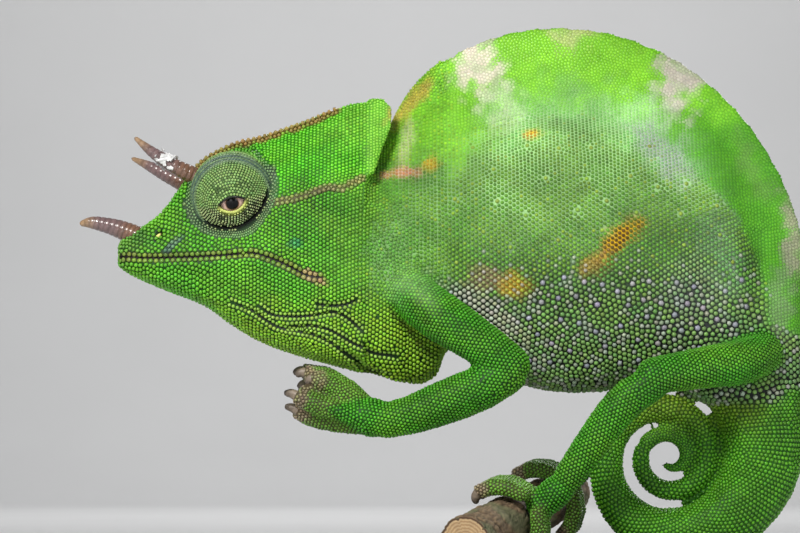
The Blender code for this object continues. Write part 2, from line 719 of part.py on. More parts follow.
def neck_body(grow=0.0):
    levels = np.array(NECK_LEVELS)
    rear_z = THROAT_Z[-1] + levels * (NAPE_Z[-1] - THROAT_Z[-1])
    rear_w = body_half(np.full(len(levels), NECK_X[-1]), rear_z)
    rings = []
    for x in np.linspace(NECK_X[0], NECK_X[-1], 10):
        low = smooth(NECK_X, THROAT_Z, x)
        high = smooth(NECK_X, NAPE_Z, x)
        half = []
        for i, level in enumerate(levels):
            stations = (NECK_X[0], NECK_MIDDLE_X, NECK_X[-1])
            width = smooth(stations, (NECK_FRONT_W[i], NECK_MIDDLE_W[i], rear_w[i]), x)
            half.append((width + grow, low + level * (high - low) + grow * (2 * level - 1)))
        ring = np.concatenate([half, np.array(half[::-1]) * (-1, 1)])
        ring[0, 0] += THINNEST
        ring[-1, 0] -= THINNEST
        place = x + grow * (2 * (x - NECK_X[0]) / (NECK_X[-1] - NECK_X[0]) - 1)
        rings.append(np.column_stack([np.full(len(ring), place), ring]))
    return loft("neck", lean(rings), "skin")


def tail_rows(count):
    """The tail's centreline, evenly spaced, with its half width and half thickness."""
    angle = np.arange(0, SPIRAL_ROWS[-1, 0] + 1, 10.0)
    distance = smooth(SPIRAL_ROWS[:, 0], SPIRAL_ROWS[:, 1], angle)
    width = smooth(SPIRAL_ROWS[:, 0], SPIRAL_ROWS[:, 2], angle)
    x = SPIRAL[0] + distance * np.cos(np.radians(angle))
    z = SPIRAL[1] - distance * np.sin(np.radians(angle))
    spiral = np.column_stack([x, np.zeros(len(x)), z, width])
    root = [(a, 0.0, b, half) for a, b, half in TAIL_ROOT]
    rows = resample(np.concatenate([root, spiral]), count)
    thick = np.minimum(rows[:, 3] * TAIL_FLATTENING, TAIL_MOST_HALF)
    return np.column_stack([rows, thick])


def tail_length(name, start, end, grow=0.0):
    """The stretch of tail between two fractions of its length, with flat ends."""
    fine = tail_rows(400)
    length = np.concatenate([[0.0], np.cumsum(np.linalg.norm(np.diff(fine[:, :3], axis=0), axis=1))])
    first = start * length[-1] + (0.5 * GAP if start > 0 else 0.0)
    last = end * length[-1] - (0.5 * GAP if end < 1 else 0.0)
    widths = np.interp([first, last], length, fine[:, 3])
    count = max(7, int((last - first) / (0.4 * widths.mean() + 0.4)))
    places = np.linspace(first, last, count)
    rows = np.column_stack([np.interp(places, length, column) for column in fine.T])
    heading = np.gradient(fine[:, :3], axis=0)
    along = np.column_stack([np.interp(places, length, column) for column in heading.T])
    sides = 14 if widths[0] > 4 else 11 if widths[0] > 2 else 9
    rings = tube_rings(rows, sides, grow=grow, round_ends=False, along=along)
    return loft(name, rings, "skin")


def tail():
    ends = (0.0, *TAIL_CUTS, 1.0)
    lengths = [tail_length("tail_%d" % (i + 1), ends[i], ends[i + 1]) for i in range(len(ends) - 1)]
    cut(lengths[0], torso_body(1.5 * GAP))


def digit(rows, radius, claw_from):
    """A toe and its claw: the toe follows the rows before claw_from, the claw the rest."""
    rows = np.asarray(rows, float)
    toe = rows[:claw_from]
    radii = radius * np.array([0.9, 1.0, 1.0, 0.92, 0.85])[: len(toe)]
    radii[-1] = radius * 0.85
    toe = limb("toe", np.column_stack([toe, radii]), sides=7, count=4)
    tip = rows[claw_from - 2 :]
    root = tip[1] - 0.35 * (tip[1] - tip[0]) / np.linalg.norm(tip[1] - tip[0])
    claw = np.array([root, *tip[1:]])
    radii = np.linspace(CLAW_RADIUS, CLAW_TIP, len(claw))
    claw = resample(np.column_stack([claw, radii]), 3)
    return [toe, loft("claw", tube_rings(claw, 5, round_ends=False), "horn")]


def spread(rows):
    """The right arm's rows from the left arm's."""
    rows = np.array(rows, float)
    rows[..., 0] += SPREAD * (rows[..., 0] - SPREAD_FROM[0])
    rows[..., 1] *= -1
    rows[..., 2] += SPREAD * (rows[..., 2] - SPREAD_FROM[1])
    return rows


def arm(word):
    place = spread if word == "right" else np.array
    upper, fore, palm = place(UPPER_ARM), place(FOREARM), place(HAND)
    cut(limb("upper_arm_" + word, upper), torso_body(GAP), neck_body(GAP))
    cut(limb("forearm_" + word, fore), limb("room", upper, grow=GAP))
    cut(limb("hand_" + word, palm), limb("room", fore, grow=GAP))
    for bundle, fingers in (("outer", OUTER_FINGERS), ("inner", INNER_FINGERS)):
        pieces = []
        for rows in fingers:
            rows = place(rows)
            middle = 0.5 * (rows[-2] + rows[-1]) + (0, 0, 0.35)
            rows = np.array([*rows[:-1], middle, rows[-1]])
            pieces += digit(rows, FINGER_RADIUS, 4)
        obj = fuse("hand_%s_%s_toes" % (word, bundle), pieces)
        cut(obj, limb("room", palm, grow=GAP))


def perch_frame():
    along = np.array(PERCH_ALONG) / np.linalg.norm(PERCH_ALONG)
    upward = np.array([0, 0, 1.0]) - along * along[2]
    upward /= np.linalg.norm(upward)
    return along, np.cross(along, upward), upward


def perch_body(name, grow=0.0):
    along = perch_frame()[0]
    places = np.linspace(-0.5, 0.5, 9) * PERCH_LENGTH
    uneven = 0.12 * np.sin(places * 0.55) + 0.08 * np.sin(places * 1.3 + 1)
    rows = [(*(np.array(PERCH_AT) + along * s), PERCH_RADIUS + bump - 0.2) for s, bump in zip(places, uneven)]
    return loft(name, tube_rings(rows, 14, across=(1, 0, 0), grow=grow, round_ends=False), "bark")


def grip_rows(station, angles, radius):
    """Places round the perch at the angles given, at one station along it."""
    along, level, upward = perch_frame()
    centre = np.array(PERCH_AT) + along * station
    turns = np.radians(angles)
    return centre + np.outer(np.cos(turns) * radius, level) + np.outer(np.sin(turns) * radius, upward)


def leg(word, thigh, shin, foot, grip):
    room = tail_length("room", 0.0, TAIL_CUTS[0], GAP)
    cut(limb("thigh_" + word, thigh), torso_body(GAP), room)
    cut(limb("shin_" + word, shin), limb("room", thigh, grow=GAP))
    cut(limb("foot_" + word, foot), limb("room", shin, grow=GAP), perch_body("room", GAP))
    hold = PERCH_RADIUS + TOE_RADIUS + 0.45
    for bundle, (toes, start, end) in (("outer", OVER_TOES), ("inner", UNDER_TOES)):
        pieces = []
        for toe in range(toes):
            station = grip + (toe - 0.5 * (toes - 1)) * TOE_PITCH
            reach = end + (abs(toe - 0.5 * (toes - 1)) * -7) * np.sign(end - start)
            sweep = CLAW_SWEEP * np.sign(end - start)
            toe_rows = grip_rows(station, np.linspace(start, reach, 4), hold)
            claw_rows = grip_rows(station, reach + sweep * np.array([0.6, 1.15]), hold - np.array([0.35, 1.0]))
            pieces += digit(np.concatenate([toe_rows, claw_rows]), TOE_RADIUS, 4)
        obj = fuse("foot_%s_%s_toes" % (word, bundle), pieces)
        cut(obj, limb("room", foot, grow=GAP), perch_body("room", GAP))


def stand():
    corner = np.radians(np.linspace(0, 90, 5))
    outline = []
    for quarter, (sx, sy) in enumerate(((1, 1), (-1, 1), (-1, -1), (1, -1))):
        centre = np.array([sx * (BASE_LENGTH / 2 - BASE_CORNER), sy * (BASE_WIDTH / 2 - BASE_CORNER)])
        for turn in corner + quarter * math.pi / 2:
            outline.append(centre + BASE_CORNER * np.array([math.cos(turn), math.sin(turn)]))
    outline = np.array(outline)
    rings = []
    shrink = 1 - 2 * BASE_BEVEL / np.array([BASE_LENGTH, BASE_WIDTH])
    for height, scale in ((0, (1, 1)), (BASE_THICKNESS - BASE_BEVEL, (1, 1)), (BASE_THICKNESS, shrink)):
        rings.append(np.column_stack([outline * scale, np.full(len(outline), height)]))
    loft("stand_base", rings, "stand")
    x, y, z = PERCH_AT
    rows = [(x, y, BASE_THICKNESS + GAP, ROD_RADIUS), (x, y, 0.5 * z, ROD_RADIUS), (x, y, z, ROD_RADIUS)]
    rod = loft("stand_rod", tube_rings(rows, 14, round_ends=False), "steel")
    cut(rod, perch_body("room", GAP))


def main():
    clear_scene()
    head_parts()
    neck_body()
    torso_body()
    sail()
    tail()
    for word in ("left", "right"):
        arm(word)
    leg("left", LEFT_THIGH, LEFT_SHIN, LEFT_FOOT, LEFT_GRIP)
    leg("right", RIGHT_THIGH, RIGHT_SHIN, RIGHT_FOOT, RIGHT_GRIP)
    perch_body("perch")
    stand()


main()
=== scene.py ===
"""The looks of the three-horned chameleon: skin and scales, eyes, horns, claws, perch, stand and studio.

Lengths are in millimetres, and MM turns them into metres. The animal faces -X with its left side towards
-Y. Places on the head are given as if it were held upright, and `lean` turns them to the way it is
carried; away from the head the two are the same. A side mark is a place (x, z), used on both sides.
"""

import math

import bpy
import numpy as np
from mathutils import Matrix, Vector
from mathutils.bvhtree import BVHTree
from mathutils.kdtree import KDTree

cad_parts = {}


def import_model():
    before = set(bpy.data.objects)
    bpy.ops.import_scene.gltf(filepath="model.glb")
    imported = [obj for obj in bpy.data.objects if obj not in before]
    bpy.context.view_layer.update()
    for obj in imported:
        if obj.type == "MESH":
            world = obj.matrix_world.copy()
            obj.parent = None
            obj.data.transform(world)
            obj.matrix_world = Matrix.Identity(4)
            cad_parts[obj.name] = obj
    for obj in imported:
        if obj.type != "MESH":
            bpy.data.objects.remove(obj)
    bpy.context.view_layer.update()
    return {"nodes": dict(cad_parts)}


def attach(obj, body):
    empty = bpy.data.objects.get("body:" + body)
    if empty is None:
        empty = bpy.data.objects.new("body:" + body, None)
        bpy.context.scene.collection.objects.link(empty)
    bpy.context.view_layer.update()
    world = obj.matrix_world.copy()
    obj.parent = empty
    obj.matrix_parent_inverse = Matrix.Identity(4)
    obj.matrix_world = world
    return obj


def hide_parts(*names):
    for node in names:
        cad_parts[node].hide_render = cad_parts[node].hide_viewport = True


MM = 0.001
SEED = 12

# Carriage of the head, as in the solids.
LEAN = 13.0
LEAN_AXIS_Z = 68.3
LEAN_FULL_X = -25.6
LEAN_NONE_X = -13.5

# Eye turrets, as in the solids.
TURRET = (-51.6, -4.5, 75.0)
TURRET_RADIUS = 8.0
GAZE = (0.046, -0.826, -0.562)
LID_TILT = 16.0
EYEBALL_RADIUS = 3.0
EYEBALL_OUT = 4.46
OPENING_HALF = (2.5, 1.34)
OPENING_ROUND = 1.7
UPPER_LID = 0.86
SOCKET_REACH = 5.9

# The sign of y on each side.
SIDES = {"left": -1, "right": 1}

# Flesh: the nodes that the one skin replaces, by region.
REGIONS = {
    "head": ["head"],
    "neck": ["neck"],
    "torso": ["torso"],
    "sail": ["dorsal_sail"],
    "lobe": ["occipital_lobe_" + side for side in SIDES],
    "turret": ["eye_turret_" + side for side in SIDES],
    "limb": ["%s_%s" % (part, side) for part in ("upper_arm", "forearm", "thigh", "shin") for side in SIDES],
    "palm": ["%s_%s" % (part, side) for part in ("hand", "foot") for side in SIDES],
    "toe": [
        "%s_%s_%s_toes" % (part, side, bundle)
        for part in ("hand", "foot") for side in SIDES for bundle in ("outer", "inner")
    ],
    "tail": ["tail_%d" % number for number in range(1, 7)],
    "tip": ["tail_7"],
}
BRIDGE = 0.27
VOXEL = 0.38
SKIN_FACES = 190000
COARSE_LEVELS = 5
SOFTENING = 20
SEAM_BLUR = 40
COAT_DEPTH = {
    "head": 0.26, "neck": 0.27, "torso": 0.27, "sail": 0.10, "lobe": 0.14, "turret": 0.16, "limb": 0.20,
    "palm": 0.16, "toe": 0.13, "tail": 0.20, "tip": 0.05,
}

# Scales: the distance between neighbours, the height of a dome and how much of its cell it fills.
SPACING = {
    "head": 0.75, "neck": 0.76, "torso": 0.84, "sail": 0.64, "lobe": 0.58, "turret": 0.60, "limb": 0.68,
    "palm": 0.66, "toe": 0.62, "tail": 0.76, "tip": 0.54,
}
DOME = {
    "head": 0.31, "neck": 0.31, "torso": 0.34, "sail": 0.08, "lobe": 0.13, "turret": 0.24, "limb": 0.25,
    "palm": 0.24, "toe": 0.22, "tail": 0.26, "tip": 0.12,
}
FILL = {
    "head": 0.92, "neck": 0.91, "torso": 0.86, "sail": 0.96, "lobe": 0.94, "turret": 0.92, "limb": 0.93,
    "palm": 0.93, "toe": 0.93, "tail": 0.94, "tip": 0.94,
}


def unit(vectors):
    return vectors / np.maximum(np.linalg.norm(vectors, axis=-1, keepdims=True), 1e-9)


def fade(value, start, end):
    """0 before start, 1 past end, smooth between; start may be the larger."""
    t = np.clip((np.asarray(value, float) - start) / (end - start), 0, 1)
    return t * t * (3 - 2 * t)


def turned(points, way):
    points = np.array(points, float)
    angle = np.radians(LEAN) * fade(points[..., 0], LEAN_NONE_X, LEAN_FULL_X)
    across = points[..., 1].copy()
    above = points[..., 2] - LEAN_AXIS_Z
    points[..., 1] = across * np.cos(angle) + way * above * np.sin(angle)
    points[..., 2] = above * np.cos(angle) - way * across * np.sin(angle) + LEAN_AXIS_Z
    return points


def lean(points):
    return turned(points, 1)


def upright(points):
    return turned(points, -1)


def ripple(points, length, seed):
    """Smooth noise from -1 to 1 with features of about this length."""
    rng = np.random.default_rng(SEED + seed)
    waves = unit(rng.normal(size=(9, 3))) * rng.uniform(0.7, 1.5, (9, 1)) * 2 * np.pi / length
    phases = rng.uniform(0, 2 * np.pi, 9)
    return np.tanh(np.sin(points @ waves.T + phases).sum(axis=1) / 2.2)


def line_distance(flat, line):
    """Distance of each (x, z) from a run of straight lines, and how far along the run from 0 to 1."""
    line = np.asarray(line, float)
    best = np.full(len(flat), np.inf)
    along = np.zeros(len(flat))
    lengths = np.linalg.norm(np.diff(line, axis=0), axis=1)
    reached = np.concatenate([[0], np.cumsum(lengths)])
    for number, (start, end) in enumerate(zip(line[:-1], line[1:])):
        t = np.clip((flat - start) @ (end - start) / lengths[number] ** 2, 0, 1)
        distance = np.linalg.norm(flat - start - t[:, None] * (end - start), axis=1)
        nearer = distance < best
        best[nearer] = distance[nearer]
        along[nearer] = (reached[number] + t[nearer] * lengths[number]) / reached[-1]
    return best, along


def curve(points, count):
    """A smooth curve through the points, as count places evenly spaced along it."""
    points = np.asarray(points, float)
    chord = np.concatenate([[0], np.cumsum(np.linalg.norm(np.diff(points, axis=0), axis=1))])
    slope = np.gradient(points, chord, axis=0)

    def at(place):
        span = np.clip(np.searchsorted(chord, place, side="right") - 1, 0, len(chord) - 2)
        step = (chord[span + 1] - chord[span])[:, None]
        t = (place - chord[span])[:, None] / step
        rise = t * t * (3 - 2 * t)
        bend = t * (1 - t) ** 2 * slope[span] + t * t * (t - 1) * slope[span + 1]
        return points[span] * (1 - rise) + points[span + 1] * rise + bend * step

    fine = np.linspace(0, chord[-1], 30 * count)
    length = np.concatenate([[0], np.cumsum(np.linalg.norm(np.diff(at(fine), axis=0), axis=1))])
    return at(np.interp(np.linspace(0, length[-1], count), length, fine))


def colour(red, green, blue):
    """A linear colour from the usual 0 to 255 values."""
    value = np.array([red, green, blue]) / 255
    return np.where(value <= 0.04045, value / 12.92, ((value + 0.055) / 1.055) ** 2.4)


def mix(first, second, share):
    return first + (second - first) * np.asarray(share)[..., None]


# Meshes.


def new_object(name, points, triangles, tint=None, scale=MM):
    mesh = bpy.data.meshes.new(name)
    mesh.vertices.add(len(points))
    mesh.vertices.foreach_set("co", (np.asarray(points) * scale).astype(np.float32).ravel())
    mesh.loops.add(3 * len(triangles))
    mesh.loops.foreach_set("vertex_index", np.asarray(triangles, np.int32).ravel())
    mesh.polygons.add(len(triangles))
    mesh.polygons.foreach_set("loop_start", np.arange(0, 3 * len(triangles), 3, dtype=np.int32))
    mesh.update(calc_edges=True)
    mesh.shade_smooth()
    if tint is not None:
        layer = mesh.color_attributes.new("tint", "FLOAT_COLOR", "POINT")
        rgba = np.column_stack([tint, np.ones(len(tint))]).astype(np.float32)
        layer.data.foreach_set("color", rgba.ravel())
    obj = bpy.data.objects.new(name, mesh)
    bpy.context.scene.collection.objects.link(obj)
    return obj


def arrays(mesh, scale=1 / MM):
    points = np.empty(3 * len(mesh.vertices), np.float32)
    mesh.vertices.foreach_get("co", points)
    mesh.calc_loop_triangles()
    triangles = np.empty(3 * len(mesh.loop_triangles), np.int32)
    mesh.loop_triangles.foreach_get("vertices", triangles)
    return points.reshape(-1, 3).astype(float) * scale, triangles.reshape(-1, 3)


def welded(points, triangles):
    _, first, index = np.unique(np.round(points, 3), axis=0, return_index=True, return_inverse=True)
    triangles = index.reshape(-1)[triangles]
    whole = (triangles != np.roll(triangles, 1, axis=1)).all(axis=1)
    return points[first], triangles[whole]


def point_normals(points, triangles):
    corners = points[triangles]
    faces = np.cross(corners[:, 1] - corners[:, 0], corners[:, 2] - corners[:, 0])
    total = np.zeros_like(points)
    for corner in range(3):
        for axis in range(3):
            total[:, axis] += np.bincount(triangles[:, corner], faces[:, axis], len(points))
    return unit(total)


class Skin:
    """The skin as arrays: points, triangles, and the share of each region at each point."""

    def __init__(self, points, triangles):
        self.points = points
        self.triangles = triangles
        pairs = np.concatenate([triangles[:, ends] for ends in ([0, 1], [1, 2], [2, 0])])
        self.edges = np.unique(np.sort(pairs, axis=1), axis=0)
        self.refresh()

    def refresh(self):
        self.normals = point_normals(self.points, self.triangles)
        self.tree = BVHTree.FromPolygons(self.points.tolist(), self.triangles.tolist())

    def blurred(self, values, times, weight=0.5):
        """The values averaged with those of the neighbouring points, several times over."""
        a, b = self.edges.T
        size = len(self.points)
        count = np.bincount(a, minlength=size) + np.bincount(b, minlength=size)
        flat = values.reshape(size, -1).astype(float)
        for _ in range(times):
            total = np.empty_like(flat)
            for column, value in enumerate(flat.T):
                total[:, column] = np.bincount(a, value[b], size) + np.bincount(b, value[a], size)
            flat = flat + weight * (total / count[:, None] - flat)
        return flat.reshape(values.shape)

    def push(self, amount):
        """Moves each point along its normal."""
        self.points = self.points + self.normals * np.asarray(amount)[:, None]
        self.normals = point_normals(self.points, self.triangles)

    def nearest(self, places):
        """The places moved onto the skin, with the triangle that each one is in."""
        found = [self.tree.find_nearest(Vector(place)) for place in places]
        on = np.array([tuple(hit[0]) for hit in found])
        return on, np.array([hit[2] for hit in found])

    def read(self, values, places, index):
        """Values of the points read at places inside the triangles given."""
        corners = self.points[self.triangles[index]]
        shares = barycentric(places, corners)
        return np.einsum("nk,nk...->n...", shares, values[self.triangles[index]])


def barycentric(places, corners):
    a, b, c = corners[:, 0], corners[:, 1], corners[:, 2]
    ab, ac, ap = b - a, c - a, places - a
    d00, d01, d11 = (ab * ab).sum(1), (ab * ac).sum(1), (ac * ac).sum(1)
    d20, d21 = (ap * ab).sum(1), (ap * ac).sum(1)
    area = np.maximum(d00 * d11 - d01 * d01, 1e-12)
    v = (d11 * d20 - d01 * d21) / area
    w = (d00 * d21 - d01 * d20) / area
    inside = np.clip(np.column_stack([1 - v - w, v, w]), 0, 1)
    return inside / inside.sum(axis=1, keepdims=True)


# Skin.


def flesh_mesh(nodes):
    """All the flesh as one set of closed meshes, each grown a little so that it meets its neighbours."""
    meshes = [welded(*arrays(nodes[name].data)) for names in REGIONS.values() for name in names]
    points, triangles, size = [], [], 0
    for own, faces in (*meshes, *lost_fingers()):
        points.append(own + BRIDGE * point_normals(own, faces))
        triangles.append(faces + size)
        size += len(own)
    return np.concatenate(points), np.concatenate(triangles)


def remeshed(points, triangles):
    """One closed surface round all the flesh."""
    rough = new_object("flesh", points, triangles, scale=1.0)
    remesh = rough.modifiers.new("join", "REMESH")
    remesh.mode = "VOXEL"
    remesh.voxel_size = VOXEL
    result = arrays(evaluated_mesh(rough), 1.0)
    bpy.data.objects.remove(rough)
    return largest(*result)


def thinned(skin):
    """The skin in fewer triangles, kept finest where the detail is."""
    full = new_object("flesh", skin.points, skin.triangles, scale=1.0)
    group = full.vertex_groups.new(name="coarse")
    coarse = 1 - share(skin.shares, "head", "turret", "palm", "toe", "lobe", "tip")
    for level in range(COARSE_LEVELS):
        chosen = np.flatnonzero(np.round(coarse * (COARSE_LEVELS - 1)) == level)
        group.add(chosen.tolist(), level / (COARSE_LEVELS - 1), "REPLACE")
    thin = full.modifiers.new("thin", "DECIMATE")
    thin.vertex_group = group.name
    thin.vertex_group_factor = 6.0
    thin.ratio = min(1.0, SKIN_FACES / len(skin.triangles))
    new = Skin(*largest(*arrays(evaluated_mesh(full), 1.0)))
    bpy.data.objects.remove(full)
    on, index = skin.nearest(new.points)
    new.shares = skin.read(skin.shares, on, index)
    return new


def evaluated_mesh(obj):
    bpy.context.view_layer.update()
    return obj.evaluated_get(bpy.context.evaluated_depsgraph_get()).data


def largest(points, triangles):
    """The largest connected surface."""
    label = np.arange(len(points))
    while True:
        lowest = label[triangles].min(axis=1)
        new = label.copy()
        for corner in range(3):
            np.minimum.at(new, triangles[:, corner], lowest)
        new = new[new]
        if (new == label).all():
            break
        label = new
    kept = label == np.bincount(label).argmax()
    place = np.cumsum(kept) - 1
    return points[kept], place[triangles[kept[triangles[:, 0]]]]


def region_shares(skin, nodes):
    """The share of each region at each point of the skin, blending over a short way."""
    points, triangles, owner = [], [], []
    size = 0
    for region, names in enumerate(REGIONS.values()):
        for name in names:
            own, faces = arrays(nodes[name].data)
            points += own.tolist()
            triangles += (faces + size).tolist()
            owner += [region] * len(faces)
            size += len(own)
    tree = BVHTree.FromPolygons(points, triangles)
    nearest = np.array([owner[tree.find_nearest(Vector(point))[2]] for point in skin.points])
    return skin.blurred(np.eye(len(REGIONS))[nearest], 6)


def by_region(shares, table):
    return shares @ np.array([table[region] for region in REGIONS])


def share(shares, *regions):
    return sum(shares[..., list(REGIONS).index(region)] for region in regions)


# Creases, raised lines and hollows: side marks with a depth (below 0 is raised) and a half width.
MOUTH = (
    (-72.0, 63.9), (-68.0, 63.2), (-60.3, 62.7), (-53.3, 62.6), (-47.0, 62.6), (-45.1, 61.9), (-42.8, 60.9),
    (-40.5, 59.7), (-38.8, 58.7), (-36.8, 58.0), (-35.6, 57.9),
)
CREST = (
    (-43.3, 71.7), (-41.5, 71.9), (-38.9, 72.5), (-36.6, 73.4), (-34.3, 74.2), (-32.0, 73.9), (-28.4, 76.2),
)
FOLDS = (
    ((-46.4, 53.4), (-44.4, 52.1), (-40.8, 51.5), (-36.8, 51.6), (-32.9, 52.0), (-30.6, 50.8), (-28.0, 48.3)),
    ((-36.5, 53.5), (-33.6, 53.1), (-31.0, 53.3), (-29.0, 54.2)),
    (
        (-51.6, 54.5), (-48.0, 53.0), (-45.4, 51.2), (-43.4, 50.0), (-40.1, 49.1), (-37.2, 48.5),
        (-34.2, 47.2), (-31.0, 45.2), (-27.0, 43.0), (-23.5, 42.0),
    ),
    ((-41.4, 49.8), (-37.5, 49.9), (-34.2, 49.1), (-31.6, 47.7), (-29.3, 46.4), (-26.0, 45.4), (-22.0, 45.2)),
)
NOSTRIL = (-64.6, 67.4)
NOSTRIL_DEPTH = 0.9
CREASES = (
    (MOUTH, 0.42, 0.30),
    *((fold, 0.62, 0.45) for fold in FOLDS),
    (((-23.6, 56.2), (-22.6, 52.2), (-19.3, 49.2), (-15.4, 45.9)), 0.5, 0.9),
    (((42.4, 70.0), (42.1, 62.0), (41.0, 56.0), (39.6, 51.0)), 0.6, 2.1),
    (CREST, -0.25, 0.5),
)


def crease_amount(flat):
    total = np.zeros(len(flat))
    for line, depth, half in CREASES:
        distance, along = line_distance(flat, line)
        ends = fade(along, -0.02, 0.10) * fade(along, 1.02, 0.88)
        total -= depth * np.exp(-((distance / half) ** 2)) * ends
    nostril = np.linalg.norm(flat - np.array(NOSTRIL), axis=1)
    return total - NOSTRIL_DEPTH * fade(nostril, 0.85, 0.3)


def gaze_frame(side):
    """The centre of a turret, and unit vectors along its gaze, along the lid opening and up across it."""
    gaze = unit(np.array(GAZE))
    along = unit(np.cross(gaze, (0, 0, 1)))
    along *= np.sign(along[0])
    across = np.cross(gaze, along)
    across *= np.sign(across[2])
    tilt = math.radians(LID_TILT)
    level, rise = math.cos(tilt), math.sin(tilt)
    axes = np.array([gaze, along * level + across * rise, across * level - along * rise])
    centre = np.array(TURRET)
    if side == "right":
        axes[:, 1] *= -1
        centre[1] *= -1
    placed = lean(np.array([centre, *(centre + axes)]))
    return placed[0], placed[1:] - placed[0]


def turret_places(points, side):
    """Distance from a turret's centre, angle off its gaze, and angle round it from the lid's rear corner."""
    centre, (gaze, along, across) = gaze_frame(side)
    out = points - centre
    reach = np.linalg.norm(out, axis=1)
    off = np.arccos(np.clip(out @ gaze / np.maximum(reach, 1e-6), -1, 1))
    return reach, off, np.arctan2(out @ across, out @ along)


def around_gaze(side, off, turn, reach=TURRET_RADIUS):
    """Places round a turret's centre, at angles off its gaze and round it."""
    centre, (gaze, along, across) = gaze_frame(side)
    sideways = np.outer(np.cos(turn), along) + np.outer(np.sin(turn), across)
    return centre + reach * (np.cos(off)[:, None] * gaze + np.sin(off)[:, None] * sideways)


def opening_angle(turn):
    """How far off the gaze the lid opening reaches, in a direction round it."""
    a, b = np.array(OPENING_HALF) / TURRET_RADIUS
    b = b * np.where(np.sin(turn) > 0, UPPER_LID, 2 - UPPER_LID)
    p = OPENING_ROUND
    return (np.abs(np.cos(turn) / a) ** p + np.abs(np.sin(turn) / b) ** p) ** (-1 / p)


def round_turrets(skin):
    """Makes each turret's dome smooth, with the fold that runs round its foot."""
    for side in SIDES:
        centre = gaze_frame(side)[0]
        reach, off, turn = turret_places(skin.points, side)
        radius = TURRET_RADIUS - COAT_DEPTH["turret"] - 0.45 * (1 - np.exp(-((np.degrees(off) / 26) ** 2)))
        edge = opening_angle(turn)
        radius = SOCKET_REACH + (radius - SOCKET_REACH) * fade(off, edge - 0.01, edge + 0.03)
        dome = fade(np.degrees(off), 78, 66) * (reach > 5.0) * (reach < 9.2)
        new = centre + (skin.points - centre) * (radius / np.maximum(reach, 1e-6))[:, None]
        skin.points = mix(skin.points, new, dome)


def soften(skin, shares):
    """Takes the facets out, and evens the seams between regions and the slit where the mouth is cut anew."""
    for weight in SOFTENING * (0.5, -0.505):
        skin.points = skin.blurred(skin.points, 1, weight)
    rest = 1 - share(shares, "turret", "lobe", "toe", "tip")
    seams = skin.blurred(1 - (shares ** 2).sum(axis=1), 8) * rest
    broad = np.clip(3 * seams + share(shares, "torso") + 0.5 * share(shares, "neck", "sail"), 0, 1) * rest
    skin.points = mix(skin.points, skin.blurred(skin.points, SEAM_BLUR), broad)
    place = upright(skin.points)
    mouth = line_distance(place[:, [0, 2]], MOUTH)[0]
    near = fade(mouth, 2.2, 0.9) * fade(np.abs(place[:, 1]), 0.5, 1.5) * share(shares, "head")
    skin.points = mix(skin.points, skin.blurred(skin.points, 14), near)


def make_skin(nodes):
    skin = Skin(*remeshed(*flesh_mesh(nodes)))
    skin.shares = region_shares(skin, nodes)
    soften(skin, skin.shares)
    skin.refresh()
    skin.push(-BRIDGE - by_region(skin.shares, COAT_DEPTH))
    round_turrets(skin)
    skin.refresh()
    place = upright(skin.points)
    facing = fade(np.abs(skin.normals[:, 1]), 0.15, 0.5)
    fleshy = share(skin.shares, "head", "neck", "torso", "sail")
    skin.push(crease_amount(place[:, [0, 2]]) * facing * fleshy)
    sink_claws(skin)
    return thinned(skin)


# Hands and feet, as in the solids: whole centrelines of the outer fingers, and the others' last stretches.
OUTER_FINGERS = (
    (
        (-28.2, -12.4, 35.1), (-33.0, -12.5, 36.7), (-37.4, -12.0, 38.1), (-39.6, -11.6, 39.1),
        (-42.8, -11.0, 39.8),
    ),
    (
        (-28.4, -10.2, 33.8), (-33.6, -9.6, 34.6), (-37.8, -9.0, 35.7), (-39.4, -9.0, 36.5),
        (-42.6, -9.0, 37.5),
    ),
)
INNER_FINGERS = (
    ((-34.6, -11.1, 41.7), (-36.9, -11.0, 42.3), (-38.7, -11.0, 40.8)),
    ((-35.2, -8.4, 42.9), (-38.2, -8.4, 43.3), (-41.0, -8.4, 42.6)),
    ((-35.0, -6.2, 40.6), (-37.6, -6.1, 41.0), (-40.0, -6.2, 40.0)),
)
FINGER_RADIUS = 1.75
SPREAD_FROM = (-21.6, 27.8)
SPREAD = 0.058
PERCH_AT = (-0.2, 0.0, 18.05)
PERCH_ALONG = (0.335, 0.933, 0.129)
PERCH_RADIUS = 4.9
PERCH_LENGTH = 62.0
GRIPS = {"left": -9.7, "right": 12.6}
TOE_RADIUS = 1.6
TOE_PITCH = 2.2
OVER_TOES = (3, 54.0, 128.0)
UNDER_TOES = (2, 16.0, -60.0)
CLAW_SWEEP = 24.0
CLAW_SHARE = 0.68
CLAW_RADIUS = 0.95
CLAW_TIP = 0.42


def hand_rows(rows, side):
    """The left hand's rows, or the right hand's from them."""
    rows = np.array(rows)
    if side == "right":
        rows[:, 0] += SPREAD * (rows[:, 0] - SPREAD_FROM[0])
        rows[:, 1] *= -1
        rows[:, 2] += SPREAD * (rows[:, 2] - SPREAD_FROM[1])
    return rows


def lost_fingers():
    """The one outer finger that each hand's solids lack, as a tube with a round end."""
    for side, rows in zip(SIDES, OUTER_FINGERS):
        line = curve(hand_rows(rows[:4], side), 20)
        radius = FINGER_RADIUS * np.interp(np.linspace(0, 1, 20), (0, 0.35, 0.8, 1), (0.9, 1.0, 1.0, 0.85))
        turns = np.radians((25, 50, 70, 85))
        end = line[-1] + np.outer(np.sin(turns) * radius[-1], unit(line[-1] - line[-2]))
        radius = np.concatenate([radius, np.cos(turns) * radius[-1]])
        yield sweep(np.column_stack([np.concatenate([line, end]), radius]), 14)


